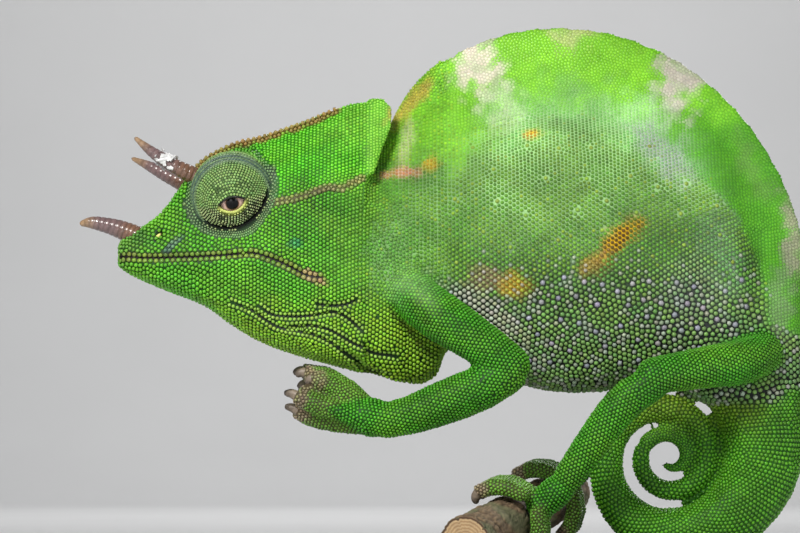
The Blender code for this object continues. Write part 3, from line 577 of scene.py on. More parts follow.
def finger_claws(side):
    for rows in OUTER_FINGERS + INNER_FINGERS:
        rows = hand_rows(rows[-3:], side)
        middle = 0.5 * (rows[1] + rows[2]) + (0, 0, 0.35)
        yield np.array([rows[1], middle, rows[2]]), rows[1] - rows[0]


def perch_frame():
    along = unit(np.array(PERCH_ALONG))
    upward = unit(np.array([0, 0, 1.0]) - along * along[2])
    return along, np.cross(along, upward), upward


def round_perch(station, angles, radius):
    """Places round the perch at the angles given in degrees, at one station along it."""
    along, level, upward = perch_frame()
    turns = np.radians(angles)
    centre = np.array(PERCH_AT) + along * station
    return centre + np.outer(np.cos(turns) * radius, level) + np.outer(np.sin(turns) * radius, upward)


def toe_claws(side):
    hold = PERCH_RADIUS + TOE_RADIUS + 0.45
    for toes, start, end in (OVER_TOES, UNDER_TOES):
        for toe in range(toes):
            place = toe - 0.5 * (toes - 1)
            station = GRIPS[side] + place * TOE_PITCH
            way = np.sign(end - start)
            reach = end - 7 * abs(place) * way
            tip = round_perch(station, np.linspace(start, reach, 4)[-2:], hold)
            turns = reach + CLAW_SWEEP * way * np.array([0.6, 1.15])
            bent = round_perch(station, turns, hold - np.array([0.35, 1.0]))
            yield np.array([tip[1], *bent]), tip[1] - tip[0]


def claw_lines():
    """Each claw's centreline from where it leaves its digit to its tip."""
    for side in SIDES:
        for rows, heading in (*finger_claws(side), *toe_claws(side)):
            rows[0] -= 0.35 * heading / np.linalg.norm(heading)
            yield rows[0] + CLAW_SHARE * (curve(rows, 9) - rows[0])


def sink_claws(skin):
    """Draws the skin's own rough claws in, so that the horny claws stand out of the digits' ends."""
    for line in claw_lines():
        near = np.flatnonzero(np.linalg.norm(skin.points - line.mean(axis=0), axis=1) < 4.5)
        out = skin.points[near, None] - line[None]
        distance = np.linalg.norm(out, axis=2)
        index = distance.argmin(axis=1)
        along = index / (len(line) - 1)
        reach = distance[np.arange(len(near)), index]
        root, heading = line[0], unit(line[2] - line[0])
        beyond = fade((skin.points[near] - root) @ heading, 0.25, 0.9) * (reach < 1.8)
        inner = line[np.minimum(index, 5)] + unit(out[np.arange(len(near)), index]) * 0.3
        skin.points[near] = mix(skin.points[near], inner, beyond * (along > 0))


# Markings. Skin and scales are painted by the same rules: a scale colour and the colour of the gaps between.
FACE = (colour(84, 164, 36), colour(14, 62, 8))
CASQUE = (colour(88, 188, 30), colour(34, 112, 12))
LOBE = (colour(132, 200, 58), colour(84, 160, 34))
THROAT = (colour(128, 178, 40), colour(22, 54, 10))
NECK = (colour(84, 142, 36), colour(82, 136, 54))
FLANK_HIGH = (colour(82, 130, 36), colour(156, 200, 132))
FLANK_MID = (colour(88, 140, 46), colour(86, 114, 76))
FLANK_LOW = (colour(100, 138, 80), colour(14, 20, 18))
SAIL = (colour(122, 188, 38), colour(106, 174, 34))
SAIL_REAR = (colour(64, 142, 30), colour(54, 130, 38))
SAIL_VEIL = (colour(112, 178, 96), colour(158, 204, 138))
LIMB = (colour(62, 142, 22), colour(14, 62, 8))
SHOULDER = (colour(116, 168, 84), colour(130, 170, 112))
TAIL = (colour(74, 138, 22), colour(30, 84, 12))
VENT = (colour(134, 146, 34), colour(78, 92, 22))
TOE = (colour(96, 146, 46), colour(70, 76, 40))
TOE_TIP = (colour(150, 132, 108), colour(92, 80, 62))
LID = (colour(128, 162, 92), colour(44, 68, 34))
# The lower lids: pale granules of their own colour, with the skin between painted near-black as shade.
LOWER_LID_AND_SHADE = (colour(160, 178, 122), colour(6, 8, 6))
LID_GLOW = (colour(184, 196, 96), colour(120, 134, 46))
RIM = (colour(100, 128, 92), colour(44, 62, 48))
CREST_TONE = (colour(152, 126, 102), colour(96, 82, 56))
CROWN_TONE = (colour(160, 108, 74), colour(92, 58, 36))
LIP = (colour(120, 112, 62), colour(60, 40, 24))
VIOLET = colour(168, 164, 168)
YELLOW = colour(158, 170, 34)
FOLD_EDGE = colour(142, 182, 74)
CHEEK_TONE = colour(112, 146, 96)

# Spots: place (x, z), half sizes, tilt in degrees, scale colour, gap colour and strength.
SPOTS = (
    ((-7.6, 99.6), (4.2, 7.2), 24, colour(214, 200, 188), colour(208, 190, 182), 0.85),
    ((-2.6, 91.6), (4.0, 4.4), 24, colour(184, 222, 150), colour(198, 224, 176), 0.6),
    ((9.5, 105.0), (4.0, 2.6), 0, colour(200, 192, 140), colour(200, 186, 146), 0.5),
    ((29.0, 96.6), (4.0, 6.8), -18, colour(204, 186, 186), colour(202, 182, 186), 0.8),
    ((22.0, 89.6), (5.4, 4.2), -30, colour(150, 208, 126), colour(178, 212, 164), 0.6),
    ((25.5, 82.5), (2.8, 6.2), 38, colour(150, 184, 144), colour(182, 180, 192), 0.6),
    ((41.5, 80.0), (2.4, 6.0), 24, colour(140, 176, 96), colour(150, 176, 112), 0.25),
    ((49.0, 67.5), (2.2, 7.0), 6, colour(190, 158, 164), colour(190, 156, 164), 0.5),
    ((46.5, 56.0), (2.4, 8.0), 0, colour(130, 158, 110), colour(140, 150, 124), 0.5),
    ((-19.8, 92.0), (1.5, 5.0), -40, colour(206, 160, 76), colour(216, 172, 106), 0.6),
    ((-21.8, 78.4), (3.0, 1.1), 8, colour(190, 116, 84), colour(224, 176, 168), 0.9),
    ((-16.4, 80.4), (1.1, 1.1), 0, colour(196, 162, 30), colour(204, 182, 60), 0.85),
    ((-20.5, 84.0), (1.3, 4.4), -12, colour(180, 200, 120), colour(212, 204, 176), 0.65),
    ((1.4, 85.8), (1.7, 0.9), 8, colour(158, 106, 14), colour(236, 190, 30), 1.0),
    ((17.4, 67.2), (4.4, 1.7), 40, colour(84, 50, 10), colour(232, 190, 40), 1.0),
    ((12.2, 62.3), (3.0, 1.2), 40, colour(150, 122, 62), colour(178, 146, 66), 0.75),
    ((-6.2, 59.6), (3.4, 2.0), -10, colour(160, 144, 112), colour(150, 112, 94), 0.6),
    ((-1.6, 58.6), (2.2, 2.2), -30, colour(178, 160, 56), colour(212, 168, 40), 0.75),
    ((-6.5, 52.5), (8.5, 3.4), -34, colour(192, 190, 182), colour(14, 12, 14), 0.75),
    ((31.0, 58.0), (6.0, 6.5), 20, colour(146, 166, 140), colour(70, 72, 74), 0.5),
    ((35.5, 66.0), (3.2, 7.0), 10, colour(110, 168, 104), colour(166, 196, 158), 0.5),
    ((-40.1, 63.8), (1.2, 1.0), 0, colour(40, 144, 90), colour(20, 84, 60), 0.75),
    ((-61.5, 65.5), (2.6, 0.6), 40, colour(86, 112, 118), colour(44, 66, 72), 0.8),
    ((-69.6, 65.6), (3.6, 2.6), 0, colour(84, 128, 62), colour(30, 58, 30), 0.6),
    ((-37.2, 58.1), (2.2, 0.8), -24, colour(198, 146, 130), colour(60, 28, 24), 0.95),
    ((-23.0, 63.0), (4.0, 6.5), -14, colour(100, 162, 72), colour(146, 190, 124), 0.5),
)


# Where the sail's lime gives way to the flank's green: a circle in (x, z), with its radius.
SAIL_FOOT = (7.2, 63.8, 25.0)

# The painting's noise, from broad to speck: the features' length and a seed.
NOISES = ((17, 1), (7, 2), (2.6, 3), (1.3, 5))


def spot_share(flat, centre, half, tilt):
    out = flat - np.array(centre)
    angle = math.radians(tilt)
    along = out[:, 0] * math.cos(angle) + out[:, 1] * math.sin(angle)
    across = out[:, 1] * math.cos(angle) - out[:, 0] * math.sin(angle)
    return np.hypot(along / half[0], across / half[1])


def tinted(base, other, amount):
    """Both colours of a pair moved towards another pair."""
    return [mix(here, there, amount) for here, there in zip(base, other)]


def paint(points, shares):
    """The scale colour and the gap colour at each point, in linear RGB."""
    place = upright(points)
    x, y, z = place.T
    flat = place[:, [0, 2]]
    ones = np.ones(len(points))
    full = lambda pair: [ones[:, None] * tone for tone in pair]
    broad, patch, fine, speck = (ripple(place, length, seed) for length, seed in NOISES)

    torso = tinted(full(FLANK_LOW), FLANK_MID, fade(z + 2.5 * broad + patch, 49, 66))
    torso = tinted(torso, FLANK_HIGH, fade(z + 2.5 * broad, 62, 78))
    head = tinted(full(FACE), THROAT, 0.85 * fade(z + 1.5 * patch, 57.5, 50))
    head = tinted(head, CASQUE, fade(z + patch, 69, 80) * fade(x, -52, -42))
    head = tinted(head, NECK, 0.7 * fade(x + 1.5 * patch, -38, -29) * fade(z, 79, 73) * fade(z, 54, 58))
    head = tinted(head, LOBE, 0.6 * fade(x + patch, -39, -29) * fade(z, 78, 84))
    foot = np.hypot(x - SAIL_FOOT[0], z - SAIL_FOOT[1]) + 1.5 * patch + fine
    rise = fade(foot, SAIL_FOOT[2] - 5, SAIL_FOOT[2] + 2) * fade(z, 74, 82)
    torso = tinted(torso, SAIL_VEIL, 0.7 * rise * fade(x + 2 * patch, -12, 1))
    torso = tinted(torso, SAIL, 0.9 * rise * fade(x + 2 * patch, 0, -11))
    torso = tinted(torso, NECK, 0.5 * fade(x + 2 * patch, -3, -12) * fade(z, 58, 63) * fade(z, 84, 78))
    neck = tinted(full(NECK), FLANK_HIGH, 0.5 * fade(x + 2 * patch, -27, -13) * fade(z, 55, 62))
    neck = tinted(neck, THROAT, fade(z + patch, 58, 50))
    neck = tinted(neck, SAIL, 0.95 * fade(z + patch, 77, 86))
    sail = tinted(full(SAIL), SAIL_REAR, 0.75 * fade(x + 2 * patch, 14, 34) * fade(z + 2 * patch, 98, 84))
    veil = fade(foot, SAIL_FOOT[2] + 10, SAIL_FOOT[2] + 1) * fade(x, -12, 0) * fade(x, 40, 30)
    sail = tinted(sail, SAIL_VEIL, 0.75 * veil)
    blotch = fade(ripple(place, 3.4, 8), -0.2, 0.7)
    limb = tinted(full(LIMB), SHOULDER, 0.6 * fade(z + patch, 52, 56.5) * fade(x, -13, -18))
    tail = tinted(full(TAIL), VENT, 0.5 * fade(x, 46, 40) * fade(z, 30, 40))
    parts = {
        "head": head, "neck": neck, "torso": torso, "sail": sail, "lobe": full(LOBE),
        "turret": full(LID), "limb": limb, "palm": limb, "toe": full(TOE), "tail": tail, "tip": tail,
    }
    weights = list(zip(REGIONS, shares.T[..., None]))
    tones = [sum(weight * parts[region][tone] for region, weight in weights) for tone in range(2)]

    on_head = share(shares, "head")
    body = share(shares, "head", "neck", "torso", "sail", "lobe")
    ragged = 0.24 * patch + 0.22 * fine + 0.10 * speck + 0.3 * blotch * share(shares, "sail")
    for centre, half, tilt, scale, gap, strength in SPOTS:
        away = spot_share(flat, centre, half, tilt) + ragged
        tones = tinted(tones, (scale, gap), strength * fade(away, 1.5, 0.5) * body)

    mottle = 0.22 * blotch * fade(foot, SAIL_FOOT[2], SAIL_FOOT[2] + 6) * share(shares, "sail")
    tones = tinted(tones, (colour(96, 172, 28), colour(90, 164, 28)), mottle)
    crest = line_distance(flat, CREST)[0]
    side = fade(np.abs(y), 2, 5)
    tones = tinted(tones, CREST_TONE, 0.72 * fade(crest + 0.2 * speck, 1.0, 0.4) * side * on_head)
    crown = line_distance(flat, CROWN[:-2])[0]
    crown = 0.8 * fade(crown + 0.35 * fine, 1.4, 0.3)
    tones = tinted(tones, CROWN_TONE, crown * share(shares, "head", "lobe"))
    mouth, along = line_distance(flat, MOUTH)
    lips = fade(np.abs(y), 0.2, 1.2) * on_head
    tones = tinted(tones, LIP, 0.65 * fade(mouth + 0.2 * speck, 1.0, 0.45) * lips)
    # Painted shade: the gap colour along the mouth line is near-black, in the slit between the lips.
    tones[1] = mix(tones[1], colour(14, 8, 7), fade(mouth, 0.42, 0.22) * lips)
    # Painted shade: the tones are darkened in the creases and folds, the more the deeper they are cut.
    crease_shade_share = share(shares, "head", "neck") + 0.42 * share(shares, "torso", "sail")
    folds = -np.minimum(crease_amount(flat), 0) * crease_shade_share
    tones = [mix(tone, tone * 0.35, fade(folds, 0.15, 0.45)) for tone in tones]
    for name in SIDES:
        reach, off, turn = turret_places(points, name)
        off = np.degrees(off)
        here = fade(reach, 9.4, 8.8) * fade(off, 92, 84)
        # Painted shade: the lower side of each turret gets near-black skin between its pale granules.
        low = fade(np.sin(turn), 0.12, -0.25) * fade(off, 70, 62)
        tones = tinted(tones, LID, here * fade(off, 96, 80))
        tones = tinted(tones, LOWER_LID_AND_SHADE, here * low)
        glow = fade(off - np.degrees(opening_angle(turn)), 8, 3) * fade(np.sin(turn), 0.15, -0.2)
        tones = tinted(tones, LID_GLOW, 0.85 * here * glow)
        tones = tinted(tones, RIM, 0.8 * fade(off, 55, 64) * here)
    tip = np.min([np.linalg.norm(points - line[0], axis=1) for line in claw_lines()], axis=0)
    tones = tinted(tones, TOE_TIP, 0.9 * fade(tip + 0.6 * fine, 3.0, 1.1) * share(shares, "toe", "palm"))
    # Painted shade: the nostril opening is painted near-black.
    nostril = np.linalg.norm(flat - np.array(NOSTRIL), axis=1)
    nostril_shade = fade(nostril, 0.8, 0.45) * on_head * side
    tones = [mix(tone, colour(12, 12, 8), nostril_shade) for tone in tones]
    lift = 1 + 0.10 * broad + 0.10 * patch + 0.05 * fine
    warm = 0.18 * np.clip(0.5 + 0.6 * ripple(place, 11, 4), 0, 1)
    warm = warm * share(shares, "head", "neck", "limb", "torso")
    tones = tinted(tones, (colour(140, 178, 44), tones[1]), warm)
    return [np.clip(tone * lift[:, None], 0, 1) for tone in tones]


# Scales.
CROWN = (
    (-58.6, 79.4), (-56.0, 81.6), (-53.0, 83.4), (-50.6, 84.6), (-47.2, 85.2), (-44.5, 86.0), (-42.2, 86.8),
    (-38.9, 87.8), (-36.2, 88.9), (-33.3, 90.2), (-30.6, 91.4), (-27.6, 92.4),
)
CROWN_HALF = ((-58.6, 3.3), (-46.0, 3.7), (-40.0, 4.2), (-34.0, 5.2), (-27.6, 6.3))
TRIES = 12
CLOSEST = 0.76
FILL_CLOSEST = 0.68
RELAXATIONS = 24
NEIGHBOUR_STEPS = 3
NEIGHBOURS = 8
BODY_LINE = (
    (-73.0, 0.0, 64.5), (-66.0, 0.0, 66.0), (-56.0, 0.0, 68.0), (-44.0, 0.0, 70.0), (-30.0, 0.0, 70.0),
    (-18.0, 0.0, 64.0), (0.0, 0.0, 62.0), (20.0, 0.0, 62.0), (36.0, 0.0, 60.0), (53.0, 0.0, 56.0),
)
ROW_STEP = 0.866
BODY_RAYS = 260
LIMB_RAYS = 48
LONGEST_JUMP = 3.0

# The tail's line, as in the solids: its root, then a spiral as angle turned and distance from its centre.
SPIRAL_AT = (26.64, 28.5)
TAIL_ROOT = ((43.0, 0.0, 41.0), (43.0, 0.0, 37.9), (43.1, 0.0, 35.6), (43.4, 0.0, 33.0))
SPIRAL_ROWS = (
    (0, 16.56), (45, 15.1), (90, 13.9), (135, 12.6), (180, 11.2), (225, 10.0), (270, 8.8), (315, 7.65),
    (360, 6.5), (450, 6.0), (540, 5.1), (630, 4.0), (720, 2.9), (850, 1.45),
)
TAIL_TIP = (25.7, 0.0, 27.4)


def scale_sizes(points, shares):
    """The distance wanted between a scale at each point and its neighbours."""
    x, y, z = upright(points).T
    size = by_region(shares, SPACING)
    torso = share(shares, "torso")
    size += torso * (0.22 * fade(z, 68, 54) - 0.17 * fade(z, 72, 84))
    size += share(shares, "neck") * (0.10 * fade(z, 52, 46) - 0.06 * fade(z, 70, 80))
    size += share(shares, "head") * (0.11 * fade(x, -46, -58) - 0.08 * fade(z, 70, 78))
    return size * (1 + 0.05 * ripple(points, 3.0, 7))


def random_places(skin, sizes, rng):
    """Places scattered over the skin, more of them where the scales are small."""
    corners = skin.points[skin.triangles]
    crossed = np.cross(corners[:, 1] - corners[:, 0], corners[:, 2] - corners[:, 0])
    area = 0.5 * np.linalg.norm(crossed, axis=1)
    wanted = area / sizes[skin.triangles].mean(axis=1) ** 2
    count = int(TRIES * wanted.sum())
    index = rng.choice(len(area), count, p=wanted / wanted.sum())
    first, second = rng.random((2, count))
    turn = first + second > 1
    first[turn], second[turn] = 1 - first[turn], 1 - second[turn]
    shares = np.column_stack([1 - first - second, first, second])
    return np.einsum("nk,nkd->nd", shares, corners[index]), index


def spaced(places, sizes, fixed, fixed_sizes, closest):
    """The indices of places kept so that no two are nearer than this share of their sizes."""
    cell = 1.4 * sizes.max()
    both = np.concatenate([fixed, places])
    keys = np.floor(both / cell).astype(int) - np.floor(both.min(axis=0) / cell).astype(int) + 1
    wide = keys.max(axis=0) + 2
    flat = (keys[:, 0] * wide[1] + keys[:, 1]) * wide[2] + keys[:, 2]
    around = [(i * wide[1] + j) * wide[2] + k for i in (-1, 0, 1) for j in (-1, 0, 1) for k in (-1, 0, 1)]
    cells = {}
    for place, size, key in zip(fixed.tolist(), fixed_sizes.tolist(), flat.tolist()):
        cells.setdefault(key, []).append((*place, size))
    kept = []
    rows = zip(range(len(places)), places.tolist(), (sizes * closest).tolist(), flat[len(fixed):].tolist())
    for number, (x, y, z), size, key in rows:
        free = True
        for step in around:
            for other in cells.get(key + step, ()):
                gap = 0.5 * (size + other[3])
                if (x - other[0]) ** 2 + (y - other[1]) ** 2 + (z - other[2]) ** 2 < gap * gap:
                    free = False
                    break
            if not free:
                break
        if free:
            cells.setdefault(key, []).append((x, y, z, size))
            kept.append(number)
    return np.array(kept)


def search_tree(places):
    tree = KDTree(len(places))
    for number, place in enumerate(places.tolist()):
        tree.insert(place, number)
    tree.balance()
    return tree


def apart_from(placed, places, distances):
    """Which places lie at least so far from all that are already placed."""
    tree = search_tree(placed)
    rows = zip(places.tolist(), distances.tolist())
    return np.array([tree.find(place)[2] > distance for place, distance in rows])


def neighbours(places):
    """The indices of each place's nearest neighbours."""
    tree = search_tree(places)
    return np.array([[hit[1] for hit in tree.find_n(place, NEIGHBOURS + 1)[1:]] for place in places.tolist()])


def relaxed(skin, places, sizes, normals, moving):
    """Spreads the places evenly by letting near ones push each other apart along the skin."""
    for step in range(RELAXATIONS):
        if step % NEIGHBOUR_STEPS == 0:
            near = neighbours(places)
        out = places[:, None] - places[near]
        distance = np.maximum(np.linalg.norm(out, axis=2), 1e-4)
        wanted = 0.51 * (sizes[:, None] + sizes[near])
        same_side = np.einsum("nd,nkd->nk", normals, normals[near]) > 0.1
        push = np.clip(wanted - distance, 0, None) * same_side * 0.3
        shift = (out / distance[..., None] * push[..., None]).sum(axis=1)
        shift -= normals * (shift * normals).sum(axis=1, keepdims=True)
        places = places + shift * moving[:, None]
    on, index = skin.nearest(places)
    places = np.where(moving[:, None], on, places)
    return places, unit(skin.read(skin.normals, places, index)), index


def main_axis(node):
    """The two ends of a node along its main axis."""
    points = arrays(node.data)[0]
    centre = points.mean(axis=0)
    axis = np.linalg.svd(points - centre, full_matrices=False)[2][0]
    return centre + np.outer((-1, 1), axis * np.abs((points - centre) @ axis).max())


def ring_paths(nodes):
    """What rings of scales are set round: line, regions, whether upright, reach, whether rays run inward."""
    body = np.array(BODY_LINE)
    yield body, ("head", "lobe", "sail"), True, 60.0, True
    yield body, ("neck", "torso", "sail"), True, 60.0, False
    for region in ("limb", "palm", "toe"):
        for name in REGIONS[region]:
            yield main_axis(nodes[name]), ("limb", "palm", "toe"), False, 9.0, False
    turn = np.radians([row[0] for row in SPIRAL_ROWS])
    out = np.array([row[1] for row in SPIRAL_ROWS])
    x, z = SPIRAL_AT[0] + out * np.cos(turn), SPIRAL_AT[1] - out * np.sin(turn)
    tail = np.concatenate([TAIL_ROOT, np.column_stack([x, np.zeros(len(x)), z])])
    yield tail, ("tail", "tip"), False, 9.0, False


def ring_places(skin, sizes, nodes):
    """Places in rows round the body, the limbs and the tail, each row shifted by half a scale."""
    found = []
    for line, regions, upright_rings, reach, inward in ring_paths(nodes):
        length = np.linalg.norm(np.diff(line, axis=0), axis=1).sum()
        count = max(3, int(length / (ROW_STEP * SPACING[regions[0]])))
        if len(line) > 2:
            rows = curve(line, count)
        else:
            rows = line[0] + np.outer(np.linspace(0, 1, count), line[1] - line[0])
        heading = unit(np.gradient(rows, axis=0))
        if upright_rings:
            heading = np.tile((1.0, 0.0, 0.0), (len(rows), 1))
        rays = BODY_RAYS if upright_rings else LIMB_RAYS
        anchors = (0, rays // 2) if upright_rings else (0,)
        turn = np.arange(rays) * 2 * np.pi / rays
        for number, (centre, ahead) in enumerate(zip(rows, heading)):
            side = unit(np.cross(ahead, (0, 0, 1)) if upright_rings else np.cross(ahead, (0.02, 0.05, 1)))
            side *= -np.sign(side[1]) if abs(side[1]) > 1e-6 else 1.0
            if upright_rings:
                side = lean(centre + side) - lean(centre)
            up = np.cross(ahead, side)
            out = np.cos(turn)[:, None] * side + np.sin(turn)[:, None] * up
            hits = []
            for ray in out.tolist():
                ray = Vector(ray)
                start = Vector(centre) + ray * reach if inward else Vector(centre)
                hits.append(skin.tree.ray_cast(start, -ray if inward else ray, reach))
            found += ring_row(skin, sizes, hits, regions, 0.5 * (number % 2), anchors)
    places = np.array([place for place, _ in found])
    return places, np.array([index for _, index in found])


def ring_row(skin, sizes, hits, regions, shift, anchors):
    """Places along one ring, counted both ways from each anchor by the size of the scales there."""
    count = len(hits)
    there = np.array([hit[0] is not None for hit in hits])
    points = np.array([tuple(hit[0]) if hit[0] is not None else (0, 0, 0) for hit in hits])
    index = np.array([hit[2] if hit[2] is not None else 0 for hit in hits])
    own = skin.shares[skin.triangles[index]].mean(axis=1)
    fits = there & (share(own, *regions) > 0.5)
    size = sizes[skin.triangles[index]].mean(axis=1)
    rows = []
    for anchor in anchors:
        for way in (1, -1):
            chain = (anchor + way * np.arange(count // (2 * len(anchors)) + 1)) % count
            apart = np.linalg.norm(np.diff(points[chain], axis=0), axis=1) / size[chain][:-1]
            measure = np.concatenate([[0], np.cumsum(apart)])
            for place in np.arange(shift, measure[-1], 1.0):
                k = min(np.searchsorted(measure, place, side="right") - 1, len(apart) - 1)
                a, b = chain[k], chain[k + 1]
                if fits[a] and fits[b] and apart[k] < LONGEST_JUMP:
                    t = (place - measure[k]) / max(apart[k], 1e-6)
                    rows.append((points[a] * (1 - t) + points[b] * t, index[a]))
    return rows


def row_places(skin, side, line, spacing, half=None):
    """Places every spacing along a side mark, on the skin of one side."""
    line = np.asarray(line, float)
    length = np.linalg.norm(np.diff(line, axis=0), axis=1).sum()
    flat = curve(line, max(2, int(length / spacing)))
    way = SIDES[side]
    if half is not None:
        across = np.interp(flat[:, 0], *np.array(half).T)
        aim = lean(np.column_stack([flat[:, 0], way * across, flat[:, 1]]))
        return skin.nearest(aim)[0]
    start = lean(np.column_stack([flat[:, 0], np.full(len(flat), way * 20.0), flat[:, 1]]))
    end = lean(np.column_stack([flat[:, 0], np.zeros(len(flat)), flat[:, 1]]))
    hits = [skin.tree.ray_cast(Vector(a), Vector(b - a), 20) for a, b in zip(start, end)]
    return np.array([tuple(hit[0]) for hit in hits if hit[0] is not None])


def offset_line(line, distance):
    line = np.asarray(line, float)
    heading = unit(np.gradient(line, axis=0))
    return line + distance * np.column_stack([-heading[:, 1], heading[:, 0]])


def set_rows(skin):
    """Scales in rows of their own: lips, lateral crests, crown's edges, folds and the flank's tubercles."""
    rows = []
    for side in SIDES:
        for distance, size, height in ((0.50, 0.92, 0.26), (-0.54, 0.98, 0.28)):
            rows.append((row_places(skin, side, offset_line(MOUTH, distance), size), size, height, None))
        for distance in (-0.40, 0.40):
            rows.append((row_places(skin, side, offset_line(CREST, distance), 0.80), 0.80, 0.40, None))
        for distance, size, height in ((0.0, 0.98, 0.80), (-0.85, 0.76, 0.46)):
            places = row_places(skin, side, offset_line(CROWN[:-2], distance), size, CROWN_HALF)
            rows.append((places, size, height, None))
        for fold in FOLDS:
            for distance in (-0.52, 0.52):
                places = row_places(skin, side, offset_line(fold, distance), 0.74)
                rows.append((places, 0.74, 0.34, FOLD_EDGE))
        for area, gap, size, height, tint in TUBERCLES:
            rows.append((tubercle_places(skin, side, area, gap), size, height, tint))
    return rows


# Larger granules on the flanks: area in (x, z), distance apart, size, height and colour.
TUBERCLES = (
    (((1.0, 40.0), (44.5, 60.0)), 2.9, 1.26, 0.44, colour(146, 140, 160)),
    (((-12.0, 40.0), (61.0, 85.0)), 5.2, 1.02, 0.36, colour(136, 164, 60)),
)


def tubercle_places(skin, side, area, gap):
    rng = np.random.default_rng(SEED + list(SIDES).index(side))
    (low_x, high_x), (low_z, high_z) = area
    chosen = []
    for _ in range(1500):
        place = np.array([rng.uniform(low_x, high_x), rng.uniform(low_z, high_z)])
        if all(np.linalg.norm(place - other) > gap for other in chosen):
            chosen.append(place)
    way = SIDES[side]
    places = []
    for x, z in chosen:
        hit = skin.tree.ray_cast(Vector((x, way * 30, z)), Vector((0, -way, 0)), 30)
        if hit[0] is not None and abs(hit[1][1]) > 0.35:
            own = share(skin.shares[skin.triangles[hit[2]]].mean(axis=0), "torso")
            if own > 0.7:
                places.append(tuple(hit[0]))
    return np.array(places)


# Rings of small scales on the turrets and round their feet.
LID_ROWS = 13
LID_SPACING = 0.56
LID_EDGE = 60.0
LID_SLIDE = 0.15
RIM_RINGS = (62.5, 66.3, 70.1, 73.9, 77.7)
CHEEK_ROWS = (0.24, 0.70, 1.16)
CHEEK_TURNS = 92
CHEEK_WALK = np.arange(5.5, 9.2, 0.06)
CHEEK_START = 7.36


def lid_places(skin, side):
    """Scales on a turret in rings that run from the shape of the lid opening to a circle."""
    places = []
    for row in range(LID_ROWS):
        t = (row + 0.9) / LID_ROWS
        turn = np.linspace(0, 2 * np.pi, 400)
        off = opening_angle(turn) * (1 - t) + math.radians(LID_EDGE) * t + 0.02
        ring = around_gaze(side, off, turn)
        length = np.linalg.norm(np.diff(ring, axis=0), axis=1)
        reached = np.concatenate([[0], np.cumsum(length)])
        count = int(reached[-1] / LID_SPACING)
        even = (np.arange(count) + 0.5 * (row % 2)) * reached[-1] / count
        turn = np.interp(even, reached, turn)
        off = opening_angle(turn) * (1 - t) + math.radians(LID_EDGE) * t + 0.02
        places.append(around_gaze(side, off, turn))
    aims = np.concatenate(places)
    on = skin.nearest(aims)[0]
    outward = unit(aims - gaze_frame(side)[0])
    slide = on - aims
    slide -= outward * (slide * outward).sum(axis=1, keepdims=True)
    return on[np.linalg.norm(slide, axis=1) < LID_SLIDE]


def cheek_places(skin, side):
    """Granules in rings on the skin round the foot of a turret, each ring so far from the smooth folds."""
    centre, (gaze, along, across) = gaze_frame(side)
    places = []
    for step in range(2 * CHEEK_TURNS):
        turn = step * math.pi / CHEEK_TURNS
        sideways = math.cos(turn) * along + math.sin(turn) * across
        profile = []
        for out in CHEEK_WALK:
            start = Vector(centre + 12 * gaze + out * sideways)
            spot, _, _, distance = skin.tree.ray_cast(start, Vector(-gaze))
            if spot is None or distance > 15.5:
                break
            if out > CHEEK_START or (spot - Vector(centre)).length > TURRET_RADIUS + 0.02:
                profile.append(tuple(spot))
        if len(profile) > 1:
            profile = np.array(profile)
            reached = np.concatenate([[0], np.cumsum(np.linalg.norm(np.diff(profile, axis=0), axis=1))])
            for distance in CHEEK_ROWS[step % 2::2]:
                if distance < reached[-1]:
                    places.append([np.interp(distance, reached, profile[:, axis]) for axis in range(3)])
    return skin.nearest(places)[0]


def bare(points, shares):
    """Where no scale grows: inside the turrets' rings and openings, under the claws and in the mouth."""
    closed = np.zeros(len(points), bool)
    for side in SIDES:
        reach, off, _ = turret_places(points, side)
        closed |= (reach < 8.3) & (np.degrees(off) < 81)
    for line in claw_lines():
        heading = unit(line[2] - line[0])
        beyond = (points - line[0]) @ heading
        axis = np.linalg.norm(points - line[0] - beyond[:, None] * heading, axis=1)
        closed |= (beyond > 0.15) & (beyond < 4.5) & (axis < 1.4)
    place = upright(points)
    mouth = line_distance(place[:, [0, 2]], MOUTH)[0]
    closed |= (mouth < 0.3) & (share(shares, "head") > 0.5) & (np.abs(place[:, 1]) > 0.8)
    closed |= np.linalg.norm(place[:, [0, 2]] - np.array(NOSTRIL), axis=1) < 1.05
    for fold in FOLDS:
        closed |= (line_distance(place[:, [0, 2]], fold)[0] < 0.3) & (np.abs(place[:, 1]) > 1.5)
    closed |= np.linalg.norm(points - np.array(TAIL_TIP), axis=1) < 0.8
    for rows in HORNS.values():
        root = lean(np.array(rows)[0, :3])
        closed |= np.linalg.norm(points - root, axis=1) < rows[0][3]
    return closed


